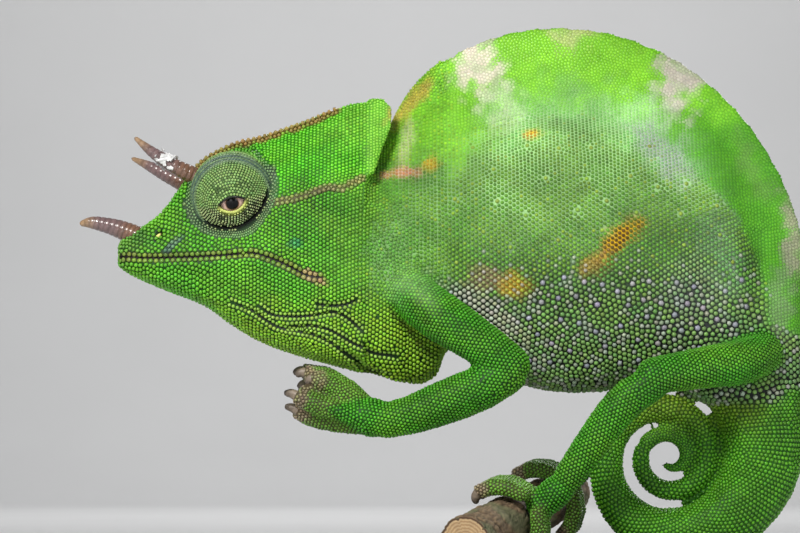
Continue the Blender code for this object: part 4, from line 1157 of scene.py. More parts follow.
def make_scales(skin, nodes):
    rng = np.random.default_rng(SEED)
    sizes = scale_sizes(skin.points, skin.shares)
    rows = set_rows(skin)
    lids = np.concatenate([lid_places(skin, side) for side in SIDES])
    rows.append((lids, LID_SPACING, 0.20, None))
    for side in SIDES:
        rows.append((cheek_places(skin, side), 0.52, 0.18, CHEEK_TONE))
    fixed = np.concatenate([row[0] for row in rows])
    numbers = [len(row[0]) for row in rows]
    fixed_sizes, fixed_heights = (np.repeat([row[k] for row in rows], numbers) for k in (1, 2))
    tints = [(np.nan,) * 3 if row[3] is None else row[3] for row in rows]
    fixed_tints = np.repeat(tints, numbers, axis=0)

    places, own_sizes = fixed, fixed_sizes
    passes = (ring_places(skin, sizes, nodes), CLOSEST), (random_places(skin, sizes, rng), FILL_CLOSEST)
    for (new, index), closest in passes:
        new_sizes = skin.read(sizes, new, index)
        free = ~bare(new, skin.read(skin.shares, new, index)) & apart_from(places, new, closest * new_sizes)
        new, new_sizes = new[free], new_sizes[free]
        kept = spaced(new, new_sizes, places, closest * own_sizes, closest)
        places = np.concatenate([places, new[kept]])
        own_sizes = np.concatenate([own_sizes, new_sizes[kept]])
    moving = np.arange(len(places)) >= len(fixed)
    sizes = own_sizes
    on, index = skin.nearest(places)
    normals = unit(skin.read(skin.normals, on, index))
    places, normals, index = relaxed(skin, places, sizes, normals, moving)
    return {
        "place": places, "normal": normals, "index": index, "size": sizes, "fixed": len(fixed),
        "height": fixed_heights, "tint": fixed_tints, "shares": skin.read(skin.shares, places, index),
    }


def tangents(normals):
    """Two unit vectors across each normal."""
    level = np.where(np.abs(normals[:, [2]]) < 0.9, (0.0, 0.0, 1.0), (1.0, 0.0, 0.0))
    first = unit(np.cross(level, normals))
    return first, np.cross(normals, first)


def cell_outline(places, normals, sizes, corners):
    """For each scale, the angles of its corners and how far each reaches before the next scale's ground."""
    near = neighbours(places)
    first, second = tangents(normals)
    out = places[near] - places[:, None]
    a = np.einsum("nkd,nd->nk", out, first)
    b = np.einsum("nkd,nd->nk", out, second)
    distance = np.hypot(a, b)
    bearing = np.arctan2(b, a)
    own_share = sizes[:, None] / (sizes[:, None] + sizes[near])
    apart = np.einsum("nd,nkd->nk", normals, normals[near]) < 0.1
    limit = np.where(apart, 9.0, distance * own_share)
    phase = np.angle(np.exp(6j * bearing)[:, :6].sum(axis=1)) / 6
    angles = phase[:, None] + np.pi / 6 + np.arange(corners) * 2 * np.pi / corners
    towards = np.cos(angles[:, :, None] - bearing[:, None, :])
    reach = np.where(towards > 0.2, limit[:, None, :] / np.maximum(towards, 0.2), 9.0).min(axis=2)
    return angles, np.minimum(reach, 0.54 * sizes[:, None])


PROFILES = {
    6: ((1.0, -0.25), (0.78, 0.70)),
    8: ((1.0, -0.22), (0.87, 0.50), (0.54, 0.90)),
}


def dome_arrays(scales, chosen, corners):
    """Closed domes over the chosen scales: points, triangles, colours and places in the bake's map."""
    profile = PROFILES[corners]
    angles, reach = scales["outline"][corners]
    angles, reach = angles[chosen], reach[chosen] * scales["fill"][chosen, None]
    place, normal, height = scales["place"][chosen], scales["normal"][chosen], scales["height"][chosen]
    first, second = tangents(normal)
    spokes = np.cos(angles)[..., None] * first[:, None] + np.sin(angles)[..., None] * second[:, None]
    flat_spokes = np.stack([np.cos(angles), np.sin(angles)], axis=2)
    rings, tints, roots = [], [], []
    for level, (width, rise) in enumerate(profile):
        up = (normal * (height * rise)[:, None])[:, None]
        rings.append(place[:, None] + spokes * (reach * width)[..., None] + up)
        tone = mix(scales["gap_tone"][chosen], scales["tone"][chosen], min(1.0, 0.3 + 0.7 * level))
        tints.append(np.repeat(tone[:, None], corners, axis=1))
        roots.append(scales["root"][chosen][:, None] + flat_spokes * width * PATCH / 2)
    # The apex, painted 12% brighter than its scale as a painted highlight.
    rings.append((place + normal * height[:, None])[:, None])
    tints.append(np.clip(scales["tone"][chosen] * 1.12, 0, 1)[:, None])
    roots.append(scales["root"][chosen][:, None])
    points, tints, roots = (np.concatenate(part, axis=1) for part in (rings, tints, roots))

    faces = flipped(fan_faces(0, corners)) + tube_faces(len(profile), corners)
    top = len(profile) * corners
    faces += [(top - corners + k, top - corners + (k + 1) % corners, top) for k in range(corners)]
    triangles = np.array(faces)[None] + (np.arange(len(place)) * points.shape[1])[:, None, None]
    return points.reshape(-1, 3), triangles.reshape(-1, 3), tints.reshape(-1, 3), roots.reshape(-1, 2)


BAKE_MAP = "OFBake"
PATCH = 0.003
# How much less of its cell each lower-lid scale fills, so that more of the painted-shade skin shows.
LOWER_LID_SHADE_GAP = 0.22
MOST_TRIANGLES = 195000


def add_map(obj, corner_places):
    layer = obj.data.uv_layers.get(BAKE_MAP) or obj.data.uv_layers.new(name=BAKE_MAP)
    layer.uv.foreach_set("vector", corner_places.astype(np.float32).ravel())


def unwrap(obj):
    """Unwraps the skin and returns the place in its map of each triangle's corners."""
    bpy.context.view_layer.objects.active = obj
    obj.select_set(True)
    bpy.ops.object.mode_set(mode="EDIT")
    bpy.ops.mesh.select_all(action="SELECT")
    bpy.ops.uv.smart_project(angle_limit=math.radians(66), island_margin=0.001)
    bpy.ops.object.mode_set(mode="OBJECT")
    obj.select_set(False)
    layer = obj.data.uv_layers.active
    layer.name = BAKE_MAP
    found = np.empty(2 * len(obj.data.loops), np.float32)
    layer.uv.foreach_get("vector", found)
    return found.reshape(-1, 3, 2)


def lower_lid_shade(points):
    """How far each point is on the lower lids, whose skin is painted near-black as shade."""
    total = np.zeros(len(points))
    for side in SIDES:
        reach, off, turn = turret_places(points, side)
        total += (reach < 8.9) * fade(np.sin(turn), 0.12, -0.25) * fade(np.degrees(off), 70, 62)
    return total


def dress_scales(skin, scales, corner_map):
    """Adds to the scales their colours, heights, outlines and places in the skin's map."""
    shares, count = scales["shares"], len(scales["place"])
    rng = np.random.default_rng(SEED + 50)
    tone, gap = paint(scales["place"], shares)
    fixed = scales["fixed"]
    own = np.isfinite(scales["tint"][:, 0])
    tone[:fixed][own] = mix(tone[:fixed][own], scales["tint"][own], 0.85)
    low = share(shares, "torso") * fade(scales["place"][:, 2], 67, 54)
    high = share(shares, "torso", "neck") * fade(scales["place"][:, 2], 56, 64)
    chance = rng.random(count)
    tone = mix(tone, VIOLET, 0.5 * (chance < 0.26 * low))
    tone = mix(tone, YELLOW, 0.3 * (chance > 1 - 0.05 * high))
    vivid = (1 - 0.7 * share(shares, "sail", "lobe"))[:, None]
    light = 1 + 0.13 * vivid * rng.normal(size=(count, 1)).clip(-2, 2)
    hue = 1 + 0.05 * vivid * rng.normal(size=(count, 3)).clip(-2, 2)
    scales["tone"] = np.clip(tone * light * hue, 0, 1)
    scales["gap_tone"] = gap
    height = by_region(shares, DOME) * scales["size"] / by_region(shares, SPACING)
    height *= 1 + 0.12 * rng.normal(size=count).clip(-2, 2)
    height[:fixed] = scales["height"]
    out = np.hypot(scales["place"][:, 0] - SAIL_FOOT[0], scales["place"][:, 2] - SAIL_FOOT[1])
    edge = share(shares, "sail") * fade(out, 30, 38) + share(shares, "torso") * fade(out, 18, 25)
    scales["height"] = height * (1 - 0.5 * edge * fade(scales["place"][:, 2], 70, 80))
    # Scales on the lower lids fill less of their cells, showing more of the skin painted near-black as shade.
    scales["fill"] = (by_region(shares, FILL) + 0.06 * low) * (1 - LOWER_LID_SHADE_GAP * lower_lid_shade(scales["place"]))
    inside = barycentric(scales["place"], skin.points[skin.triangles[scales["index"]]])
    scales["root"] = np.einsum("nk,nkd->nd", inside, corner_map[scales["index"]])
    cells = [scales[key] for key in ("place", "normal", "size")]
    scales["outline"] = {corners: cell_outline(*cells, corners) for corners in PROFILES}


COATS = {
    "head": ("head", "lobe", "turret"), "neck": ("neck",), "torso": ("torso",), "sail": ("sail",),
    "limb": ("limb", "palm"), "toe": ("toe",), "tail": ("tail", "tip"),
}


def make_coat(scales, materials):
    region = scales["shares"].argmax(axis=1)
    names = list(REGIONS)
    left = scales["place"][:, 1] < 0
    for coat, members in COATS.items():
        inside = np.isin(region, [names.index(name) for name in members])
        corners = 8 if coat == "head" else 6
        for side, chosen in (("left", inside & left), ("right", inside & ~left)):
            chosen = np.flatnonzero(chosen)
            each = len(PROFILES[corners]) * 2 * corners - 2
            parts = -(-len(chosen) * each // MOST_TRIANGLES)
            for number, part in enumerate(np.array_split(chosen, parts)):
                points, triangles, tints, roots = dome_arrays(scales, part, corners)
                name = "scales_%s_%s" % (coat, side) + ("_%d" % (number + 1) if parts > 1 else "")
                obj = new_object(name, points, triangles, tints)
                add_map(obj, roots[triangles])
                finish_piece(obj, materials["scale"], "skin")


def finish_piece(obj, material, slot, *replaced):
    obj.data.materials.append(material)
    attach(obj, "root")
    if replaced:
        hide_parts(*replaced)


def make_piece(name, points, triangles, tint, material, slot, *replaced):
    obj = new_object(name, points, triangles, np.clip(tint, 0, 1))
    finish_piece(obj, material, slot, *replaced)


# Swept pieces.


def band_faces(low, high, sides):
    """Triangles between two rings of points, each ring given by the index of its first."""
    faces = []
    for k in range(sides):
        after = (k + 1) % sides
        faces += [(low + k, low + after, high + after), (low + k, high + after, high + k)]
    return faces


def tube_faces(rings, sides, closed=False):
    """Triangles along a run of rings, whose points follow one another."""
    starts = [row * sides for row in range(rings)]
    ends = starts[1:] + starts[:closed]
    return [face for low, high in zip(starts, ends) for face in band_faces(low, high, sides)]


def fan_faces(first, sides):
    """Triangles across one ring of points."""
    return [(first, first + k, first + k + 1) for k in range(1, sides - 1)]


def flipped(faces):
    return [(a, c, b) for a, b, c in faces]


def stack_faces(rings, sides):
    """Triangles along a run of rings, closed at both ends."""
    top = (rings - 1) * sides
    return np.array(flipped(fan_faces(0, sides)) + tube_faces(rings, sides) + fan_faces(top, sides))


def sweep(rows, sides, flatten=1.0, closed=False, start=(0, 0, 1)):
    """A tube round a centreline with a radius at each row, as points and triangles."""
    rows = np.asarray(rows, float)
    line, radius = rows[:, :3], rows[:, 3]
    if closed:
        heading = unit(np.roll(line, -1, axis=0) - np.roll(line, 1, axis=0))
    else:
        heading = unit(np.gradient(line, axis=0))
    across = np.zeros_like(line)
    across[0] = unit(np.cross(heading[0], start))
    for number in range(1, len(line)):
        moved = across[number - 1] - heading[number] * (across[number - 1] @ heading[number])
        across[number] = unit(moved)
    up = np.cross(heading, across)
    turns = np.arange(sides) * 2 * np.pi / sides
    level, rise = np.cos(turns)[None, :, None], np.sin(turns)[None, :, None]
    ring = level * across[:, None] * flatten + rise * up[:, None]
    points = (line[:, None] + ring * radius[:, None, None]).reshape(-1, 3)
    faces = tube_faces(len(rows), sides, closed)
    if not closed:
        last = len(rows) - 1
        points = np.concatenate([points, line[[0, last]]])
        first, end = len(points) - 2, len(points) - 1
        faces += [(first, (k + 1) % sides, k) for k in range(sides)]
        faces += [(end, last * sides + k, last * sides + (k + 1) % sides) for k in range(sides)]
    return points, np.array(faces)


HORNS = {
    "rostral_horn": (
        (-67.6, 0.0, 67.4, 1.90), (-70.2, 0.0, 68.7, 1.80), (-74.4, -0.3, 70.1, 1.40),
        (-77.5, -0.4, 70.6, 1.00), (-79.3, -0.4, 70.4, 0.40),
    ),
    "preocular_horn_left": (
        (-57.6, -3.3, 78.2, 1.50), (-59.9, -3.9, 78.9, 1.55), (-63.0, -4.9, 80.3, 1.30),
        (-66.2, -6.0, 82.2, 0.95), (-69.2, -7.1, 84.5, 0.32),
    ),
    "preocular_horn_right": (
        (-57.6, 3.3, 78.2, 1.50), (-59.9, 3.9, 79.0, 1.55), (-63.6, 4.9, 81.0, 1.30),
        (-67.4, 5.9, 83.4, 0.95), (-71.0, 6.8, 85.4, 0.32),
    ),
}
HORN_ROWS = 110
HORN_SIDES = 24
HORN_ANNULI = 14
HORN_BASE = colour(116, 84, 66)
HORN_SHAFT = colour(112, 90, 90)
HORN_TIP = colour(152, 124, 94)


def make_horns(materials):
    """Ringed horns, brown at the root, mauve along the shaft and tan at the tip."""
    for number, (name, rows) in enumerate(HORNS.items()):
        rows = curve(rows, HORN_ROWS)
        t = np.linspace(0, 1, HORN_ROWS)
        wave = np.abs(np.sin(np.pi * HORN_ANNULI * t ** 0.9 + 0.4 * np.sin(7 * t + number)))
        rows[:, 3] *= 1.02 - 0.075 * (1 - wave) ** 2 * fade(t, 1.0, 0.7)
        rows[:, 3] *= np.where(t > 0.985, 0.6, 1.0)
        rows[:, :3] = lean(rows[:, :3])
        points, triangles = sweep(rows, HORN_SIDES)
        along = np.append(np.repeat(t, HORN_SIDES), (0, 1))
        tint = mix(HORN_BASE, HORN_SHAFT, fade(along, 0.22, 0.5))
        tint = mix(tint, HORN_TIP, fade(along, 0.7, 0.95))
        # Painted shade: the horn is darker in the grooves between its rings; the fine ripple is its own
        # varied tone.
        ring = np.append(np.repeat(wave, HORN_SIDES), (1, 1))
        tint = tint * (0.72 + 0.28 * ring)[:, None] * (1 + 0.12 * ripple(points, 1.6, 20))[:, None]
        make_piece(name + "_rings", points, triangles, tint, materials["horn"], "horn", name)


FLAKE_AT = (0.40, 0.62)
FLAKE_ROWS = 26
FLAKE_TURNS = 40


def make_flake(materials):
    """The white scrap of shed skin caught round the near horn."""
    rows = curve(HORNS["preocular_horn_left"], 60)
    place = np.interp(np.linspace(*FLAKE_AT, FLAKE_ROWS), np.linspace(0, 1, 60), np.arange(60))
    rows = np.column_stack([np.interp(place, np.arange(60), rows[:, k]) for k in range(4)])
    heading = unit(np.gradient(rows[:, :3], axis=0))
    across = unit(np.cross(heading, (0, 0, 1)))
    up = np.cross(across, heading)
    turns = np.radians(np.linspace(-150, 140, FLAKE_TURNS))
    points = []
    for row in range(FLAKE_ROWS):
        edge = abs(row / (FLAKE_ROWS - 1) - 0.5) * 2
        for turn in turns:
            curl = 0.5 * edge ** 3 * (0.5 + 0.5 * math.sin(3 * turn + 1))
            curl += 0.22 * math.sin(5.3 * turn + 0.6 * row) ** 2
            reach = rows[row, 3] * 1.02 + 0.10 + curl
            slide = 0.9 * math.sin(2.3 * turn + 0.5) * (row / (FLAKE_ROWS - 1) - 0.5)
            out = math.cos(turn) * up[row] + math.sin(turn) * across[row]
            points.append(rows[row, :3] + out * reach + heading[row] * slide)
    points = np.array(points)
    points += 0.10 * ripple(points, 1.1, 31)[:, None] * unit(points - rows[:, :3].mean(axis=0))
    faces = []
    holes = ripple(points, 1.5, 33)
    for row in range(FLAKE_ROWS - 1):
        for k in range(FLAKE_TURNS - 1):
            low, high = row * FLAKE_TURNS + k, (row + 1) * FLAKE_TURNS + k
            edge = abs((row + 0.5) / (FLAKE_ROWS - 1) - 0.5) * 2
            if holes[low] < 0.75 - 0.9 * edge ** 2:
                faces += [(low, low + 1, high + 1), (low, high + 1, high)]
    used, index = np.unique(np.array(faces), return_inverse=True)
    obj = new_object("shed_skin", lean(points[used]), index.reshape(-1, 3))
    thick = obj.modifiers.new("thickness", "SOLIDIFY")
    thick.thickness = 0.07 * MM
    thick.offset = 0
    finish_piece(obj, materials["flake"], "skin")


NOSTRIL_FLAKE = (-65.0, 67.0)
NOSTRIL_FLAKE_HALF = (0.86, 0.46)
NOSTRIL_FLAKE_TILT = 32.0


def make_nostril_flake(skin, materials):
    """The pale yellow scrap in the near nostril."""
    start = lean(np.array([NOSTRIL_FLAKE[0], -20.0, NOSTRIL_FLAKE[1]]))
    aim = lean(np.array([NOSTRIL_FLAKE[0], 0.0, NOSTRIL_FLAKE[1]])) - start
    place, normal, _, _ = skin.tree.ray_cast(Vector(start), Vector(aim))
    normal = np.array(normal)
    tilt = math.radians(NOSTRIL_FLAKE_TILT)
    first = unit(np.cross(normal, np.cross((math.cos(tilt), 0, math.sin(tilt)), normal)))
    second = np.cross(normal, first)
    count = 18
    turns = np.arange(count) * 2 * np.pi / count
    rings = []
    for shrink, rise in ((0.9, -0.1), (1.0, 0.2), (0.72, 0.42), (0.3, 0.48)):
        ragged = shrink * (1 + 0.12 * np.sin(3 * turns + 1) + 0.08 * np.sin(7 * turns))
        flat = np.outer(np.cos(turns) * ragged * NOSTRIL_FLAKE_HALF[0], first)
        flat = flat + np.outer(np.sin(turns) * ragged * NOSTRIL_FLAKE_HALF[1], second)
        rings.append(np.array(place) + flat + normal * rise)
    points = np.concatenate(rings)
    tint = colour(240, 234, 140) * (1 + 0.06 * ripple(points, 0.5, 70))[:, None]
    make_piece("nostril_flake", points, stack_faces(len(rings), count), tint, materials["scale"], "skin")


def make_claws(materials):
    for number, line in enumerate(claw_lines()):
        t = np.linspace(0, 1, 16)
        rows = np.column_stack([curve(line, 16), CLAW_RADIUS + (CLAW_TIP - CLAW_RADIUS) * t ** 2.2])
        rows[-1, 3] *= 0.6
        points, triangles = sweep(rows, 14, flatten=0.8)
        along = np.append(np.repeat(t, 14), (0, 1))
        tint = mix(colour(126, 112, 96), colour(84, 74, 64), fade(along, 0.3, 1.0))
        tint = tint * (1 + 0.16 * ripple(points, 0.9, 72))[:, None]
        make_piece("claw_%02d" % (number + 1), points, triangles, tint, materials["claw"], "horn")


# Eyes: angles off the gaze in degrees, and the eyeball's rings and the points in each.
PUPIL = 21.5
IRIS = 24.0
EYE_RINGS = 70
EYE_SIDES = 64


def make_eyes(materials):
    for side in SIDES:
        turret, (gaze, along, across) = gaze_frame(side)
        centre = turret + gaze * EYEBALL_OUT
        off = np.radians(np.linspace(0.5, 179.5, EYE_RINGS))
        turn = np.linspace(0, 2 * np.pi, EYE_SIDES, endpoint=False)
        sideways = np.outer(np.cos(turn), along) + np.outer(np.sin(turn), across)
        bulge = EYEBALL_RADIUS + 0.18 * np.exp(-((np.degrees(off) / 26) ** 2))
        points = centre + (bulge[:, None, None] * (
            np.cos(off)[:, None, None] * gaze + np.sin(off)[:, None, None] * sideways[None]
        ))
        angle = np.degrees(np.repeat(off, EYE_SIDES))
        points = points.reshape(-1, 3)
        flesh = colour(216, 182, 172) * (1 + 0.16 * ripple(points, 1.2, 40))[:, None]
        tint = mix(colour(5, 5, 6), colour(120, 76, 40), fade(angle, PUPIL - 1, PUPIL + 1))
        tint = mix(tint, flesh, fade(angle, IRIS - 1.5, IRIS + 1.5))
        # Painted shade: the eyeball is darkened where it lies deep in the socket.
        tint = mix(tint, colour(60, 34, 30), 0.7 * fade(angle, 50, 66))
        faces = flipped(stack_faces(EYE_RINGS, EYE_SIDES))
        make_piece("eye_" + side, points, faces, tint, materials["eye"], "eye", "eyeball_" + side)
        make_lids(side, materials)


LID_EDGE_REACH = 7.66
LID_EDGE_RADIUS = 0.21
LID_EDGE_LOW = colour(186, 196, 104)
# The upper half of the lid rim is painted near-black, as the shadow under the upper lid.
UPPER_LID_EDGE_SHADOW = colour(14, 16, 12)
RIM_REACH = 7.5
RIM_RADIUS = 0.27
RIM_TONES = (colour(104, 130, 92), colour(74, 98, 84))


def make_lids(side, materials):
    """The lids' rims, and the smooth folds that ring the foot of the turret."""
    gaze = gaze_frame(side)[1][0]
    turn = np.linspace(0, 2 * np.pi, 150, endpoint=False)
    ring = around_gaze(side, opening_angle(turn) + 0.015, turn, LID_EDGE_REACH)
    rows = np.column_stack([ring, LID_EDGE_RADIUS * (1.05 - 0.15 * np.sin(turn) + 0.1 * np.sin(turn * 26))])
    points, triangles = sweep(rows, 10, closed=True, start=gaze)
    # Painted shadow: the rim runs from yellow below to near-black along the upper lid.
    up = np.repeat(fade(np.sin(turn), -0.35, 0.2), 10)
    tint = mix(LID_EDGE_LOW, UPPER_LID_EDGE_SHADOW, up)
    make_piece("lid_edge_" + side, points, triangles, tint, materials["scale"], "skin")
    turn = np.linspace(0, 2 * np.pi, 420, endpoint=False)
    for number, off in enumerate(RIM_RINGS):
        wobble = np.radians(off + 0.7 * np.sin(2 * turn + number) + 0.5 * np.sin(5 * turn + 2 * number))
        ring = around_gaze(side, wobble, turn, RIM_REACH)
        beads = np.sin(turn * 76 + 2 * number)
        rows = np.column_stack([ring, RIM_RADIUS * (1 + 0.10 * beads + 0.06 * np.sin(turn * 9))])
        points, triangles = sweep(rows, 8, closed=True, start=gaze)
        # Painted shade on the fold rings: lighter on each bead and darker between, with random tone on top.
        light = 0.9 + 0.16 * np.repeat(beads, 8) + 0.2 * ripple(points, 1.4, 44)
        tint = RIM_TONES[number % 2] * light[:, None]
        name = "eye_fold_%s_%d" % (side, number + 1)
        make_piece(name, points, triangles, tint, materials["scale"], "skin")


# Perch and stand, as in the solids.
BASE_LENGTH = 84.0
BASE_WIDTH = 58.0
BASE_THICKNESS = 5.0
BASE_CORNER = 9.0
BASE_BEVEL = 0.8
ROD_RADIUS = 2.5


def make_perch(materials):
    """A length of branch with ridged bark and sawn ends."""
    along, level, upward = perch_frame()
    count, sides = 240, 110
    places = np.linspace(-0.5, 0.5, count) * PERCH_LENGTH
    swell = 0.12 * np.sin(places * 0.55) + 0.08 * np.sin(places * 1.3 + 1)
    turns = np.arange(sides) * 2 * np.pi / sides
    out = np.cos(turns)[:, None] * level + np.sin(turns)[:, None] * upward
    middle = np.array(PERCH_AT) + places[:, None] * along
    points = middle[:, None] + out[None] * (PERCH_RADIUS - 0.2 + swell)[:, None, None]
    flat = points.reshape(-1, 3)
    stretched = flat + (0.35 - 1) * ((flat - np.array(PERCH_AT)) @ along)[:, None] * along
    ridges = np.abs(ripple(stretched, 1.5, 60)) * 0.7 + 0.3 * np.abs(ripple(stretched, 0.8, 61))
    cracks = 1 - fade(np.abs(ripple(stretched, 3.2, 62)), 0.0, 0.25)
    depth = 0.10 + 0.26 * (1 - ridges) + 0.30 * cracks
    flat = flat - np.tile(out, (count, 1)) * depth[:, None]
    # Ridge tops paler and cracks near-black with the bark's depth: partly the bark's own colour, partly
    # painted shade in the cracks.
    tint = mix(colour(74, 56, 40), colour(142, 120, 92), ridges)
    tint = mix(tint, colour(34, 26, 20), 0.8 * cracks)
    tint = mix(tint, colour(104, 116, 84), 0.5 * fade(ripple(flat, 9, 63), 0.2, 0.8))
    faces = flipped(tube_faces(count, sides))
    points, tints = [flat], [tint]
    size = len(flat)
    rings = np.linspace(1, 0.04, 26)
    for end, way in ((0, 1), (count - 1, -1)):
        rim = flat[end * sides:(end + 1) * sides]
        for number, shrink in enumerate(rings[1:]):
            points.append(middle[end] + (rim - middle[end]) * shrink)
            wood = mix(colour(182, 156, 118), colour(142, 112, 78), 0.5 + 0.5 * math.sin(number * 1.9))
            tints.append(np.broadcast_to(wood if number > 1 else colour(70, 50, 34), rim.shape))
        cap, before = [], end * sides
        for here in range(size, size + (len(rings) - 1) * sides, sides):
            cap += band_faces(before, here, sides)
            before = here
        cap += fan_faces(before, sides)
        faces += cap if way > 0 else flipped(cap)
        size += (len(rings) - 1) * sides
    tint = np.concatenate(tints)
    make_piece("branch", np.concatenate(points), np.array(faces), tint, materials["bark"], "bark", "perch")


def make_stand(materials):
    """A flat base of dark wood with eased edges, and a steel rod in a collar."""
    corner = np.radians(np.linspace(0, 90, 24))
    outline = []
    for quarter, (sx, sy) in enumerate(((1, 1), (-1, 1), (-1, -1), (1, -1))):
        centre = np.array([sx * (BASE_LENGTH / 2 - BASE_CORNER), sy * (BASE_WIDTH / 2 - BASE_CORNER)])
        turns = corner + quarter * math.pi / 2
        outline.append(centre + BASE_CORNER * np.column_stack([np.cos(turns), np.sin(turns)]))
    outline = np.concatenate(outline)
    size = np.array([BASE_LENGTH, BASE_WIDTH])
    rings = []
    steps = [(0, 0.0)]
    for turn in np.radians(np.linspace(0, 90, 7)):
        steps.append((BASE_THICKNESS - BASE_BEVEL * (1 - math.sin(turn)), BASE_BEVEL * (1 - math.cos(turn))))
    steps += [(BASE_THICKNESS, inset) for inset in (4, 12, 20)]
    for height, inset in steps:
        rings.append(np.column_stack([outline * (1 - 2 * inset / size), np.full(len(outline), height)]))
    base = new_object("base", np.concatenate(rings), stack_faces(len(rings), len(outline)))
    base.data.set_sharp_from_angle(angle=math.radians(40))
    finish_piece(base, materials["wood"], "stand", "stand_base")

    x, y, z = PERCH_AT
    foot = BASE_THICKNESS + 0.02
    top = z - PERCH_RADIUS + 0.5
    profile = ((foot, 4.0), (foot + 0.9, 4.0), (foot + 1.2, 3.7), (foot + 1.2, ROD_RADIUS), (top, ROD_RADIUS))
    rows = [(x, y, height, radius) for height, radius in profile]
    points, triangles = sweep(rows, 48, start=(1, 0, 0))
    rod = new_object("rod", points, triangles)
    rod.data.set_sharp_from_angle(angle=math.radians(35))
    finish_piece(rod, materials["steel"], "rod", "stand_rod")


# Materials.


def new_material(name, roughness, **sockets):
    made = bpy.data.materials.new(name)
    made.use_nodes = True
    shader = made.node_tree.nodes["Principled BSDF"]
    shader.inputs["Roughness"].default_value = roughness
    for socket, value in sockets.items():
        shader.inputs[socket.replace("_", " ")].default_value = value
    return made, shader


def add_node(material, kind, inputs=None, **settings):
    node = material.node_tree.nodes.new("ShaderNode" + kind)
    for name, value in settings.items():
        setattr(node, name, value)
    for socket, value in (inputs or {}).items():
        if isinstance(value, bpy.types.NodeSocket):
            material.node_tree.links.new(value, node.inputs[socket])
        else:
            node.inputs[socket].default_value = value
    return node


def object_place(material):
    return add_node(material, "TexCoord").outputs["Object"]


def add_bump(material, shader, height, strength, distance):
    raised = add_node(material, "Bump", {"Height": height, "Strength": strength, "Distance": distance * MM})
    material.node_tree.links.new(raised.outputs["Normal"], shader.inputs["Normal"])


def add_grey(material, shader, scale, detail, low, high):
    """Paints a material in a grey that noise varies between two tones."""
    inputs = {"Vector": object_place(material), "Scale": scale, "Detail": detail}
    noise = add_node(material, "TexNoise", inputs)
    tone = add_node(material, "MapRange", {"Value": noise.outputs["Fac"], "To Min": low, "To Max": high})
    grey = add_node(material, "CombineColor")
    for socket in ("Red", "Green", "Blue"):
        material.node_tree.links.new(tone.outputs["Result"], grey.inputs[socket])
    material.node_tree.links.new(grey.outputs["Color"], shader.inputs["Base Color"])


def tinted_material(name, roughness, spread, grain, bump, **sockets):
    """A surface in its painted colour, broken up by fine noise, with a rough spread and a slight bump."""
    made, shader = new_material(name, roughness, **sockets)
    link = made.node_tree.links.new
    tint = add_node(made, "Attribute", attribute_name="tint")
    place = object_place(made)
    noise = add_node(made, "TexNoise", {"Vector": place, "Scale": grain, "Detail": 3.0, "Roughness": 0.6})
    middle = {"Value": noise.outputs["Fac"], "From Min": 0.3, "From Max": 0.7}
    light = add_node(made, "MapRange", {**middle, "To Min": 0.86, "To Max": 1.14})
    shaded = add_node(made, "VectorMath", {0: tint.outputs["Color"]}, operation="SCALE")
    link(light.outputs["Result"], shaded.inputs["Scale"])
    link(shaded.outputs["Vector"], shader.inputs["Base Color"])
    rough = add_node(made, "MapRange", {**middle, "To Min": roughness - spread, "To Max": roughness + spread})
    link(rough.outputs["Result"], shader.inputs["Roughness"])
    fine = add_node(made, "TexNoise", {"Vector": place, "Scale": 2.6 * grain, "Detail": 2.0})
    add_bump(made, shader, fine.outputs["Fac"], 0.5, bump)
    return made


def make_materials():
    flesh = {"Subsurface_Weight": 0.12, "Subsurface_Radius": (0.9, 1.4, 0.5), "Subsurface_Scale": 0.4 * MM}
    wet = {"Specular_IOR_Level": 0.12, "Coat_Weight": 0.25, "Coat_Roughness": 0.02}
    made = {
        "skin": tinted_material("skin", 0.55, 0.08, 1500.0, 0.05, Specular_IOR_Level=0.25, **flesh),
        "scale": tinted_material("scales", 0.34, 0.08, 1300.0, 0.02, Specular_IOR_Level=0.35),
        "horn": tinted_material("horn", 0.26, 0.07, 900.0, 0.03, Coat_Weight=0.35, Coat_Roughness=0.2),
        "claw": tinted_material("claw", 0.50, 0.06, 900.0, 0.05),
        "eye": tinted_material("eye", 0.12, 0.03, 1500.0, 0.003, **wet),
        "bark": tinted_material("bark", 0.82, 0.08, 1200.0, 0.12),
        "wood": wood_material(),
        "steel": steel_material(),
    }
    thin = {"Base_Color": (0.82, 0.81, 0.80, 1), "Transmission_Weight": 0.15}
    made["flake"], shader = new_material("shed_skin", 0.42, **thin)
    add_grey(made["flake"], shader, 2200.0, 4.0, 0.62, 0.95)
    return made


def wood_material():
    made, shader = new_material("stained_wood", 0.34, Coat_Weight=0.3, Coat_Roughness=0.18)
    place = add_node(made, "Mapping", {"Vector": object_place(made), "Scale": (60.0, 900.0, 900.0)})
    drawn = {"Vector": place.outputs["Vector"], "Scale": 1.0, "Detail": 6.0, "Distortion": 0.6}
    grain = add_node(made, "TexNoise", drawn)
    ramp = add_node(made, "ValToRGB", {"Fac": grain.outputs["Fac"]})
    low, high = ramp.color_ramp.elements
    low.position, high.position = 0.32, 0.72
    low.color, high.color = (0.018, 0.010, 0.006, 1), (0.085, 0.045, 0.024, 1)
    made.node_tree.links.new(ramp.outputs["Color"], shader.inputs["Base Color"])
    add_bump(made, shader, grain.outputs["Fac"], 0.3, 0.06)
    return made


def steel_material():
    made, shader = new_material("brushed_steel", 0.3, Metallic=1.0, Base_Color=(0.62, 0.61, 0.60, 1))
    place = add_node(made, "Mapping", {"Vector": object_place(made), "Scale": (300.0, 300.0, 9000.0)})
    lines = add_node(made, "TexNoise", {"Vector": place.outputs["Vector"], "Scale": 1.0, "Detail": 3.0})
    rough = add_node(made, "MapRange", {"Value": lines.outputs["Fac"], "To Min": 0.2, "To Max": 0.42})
    made.node_tree.links.new(rough.outputs["Result"], shader.inputs["Roughness"])
    add_bump(made, shader, lines.outputs["Fac"], 0.15, 0.02)
    return made


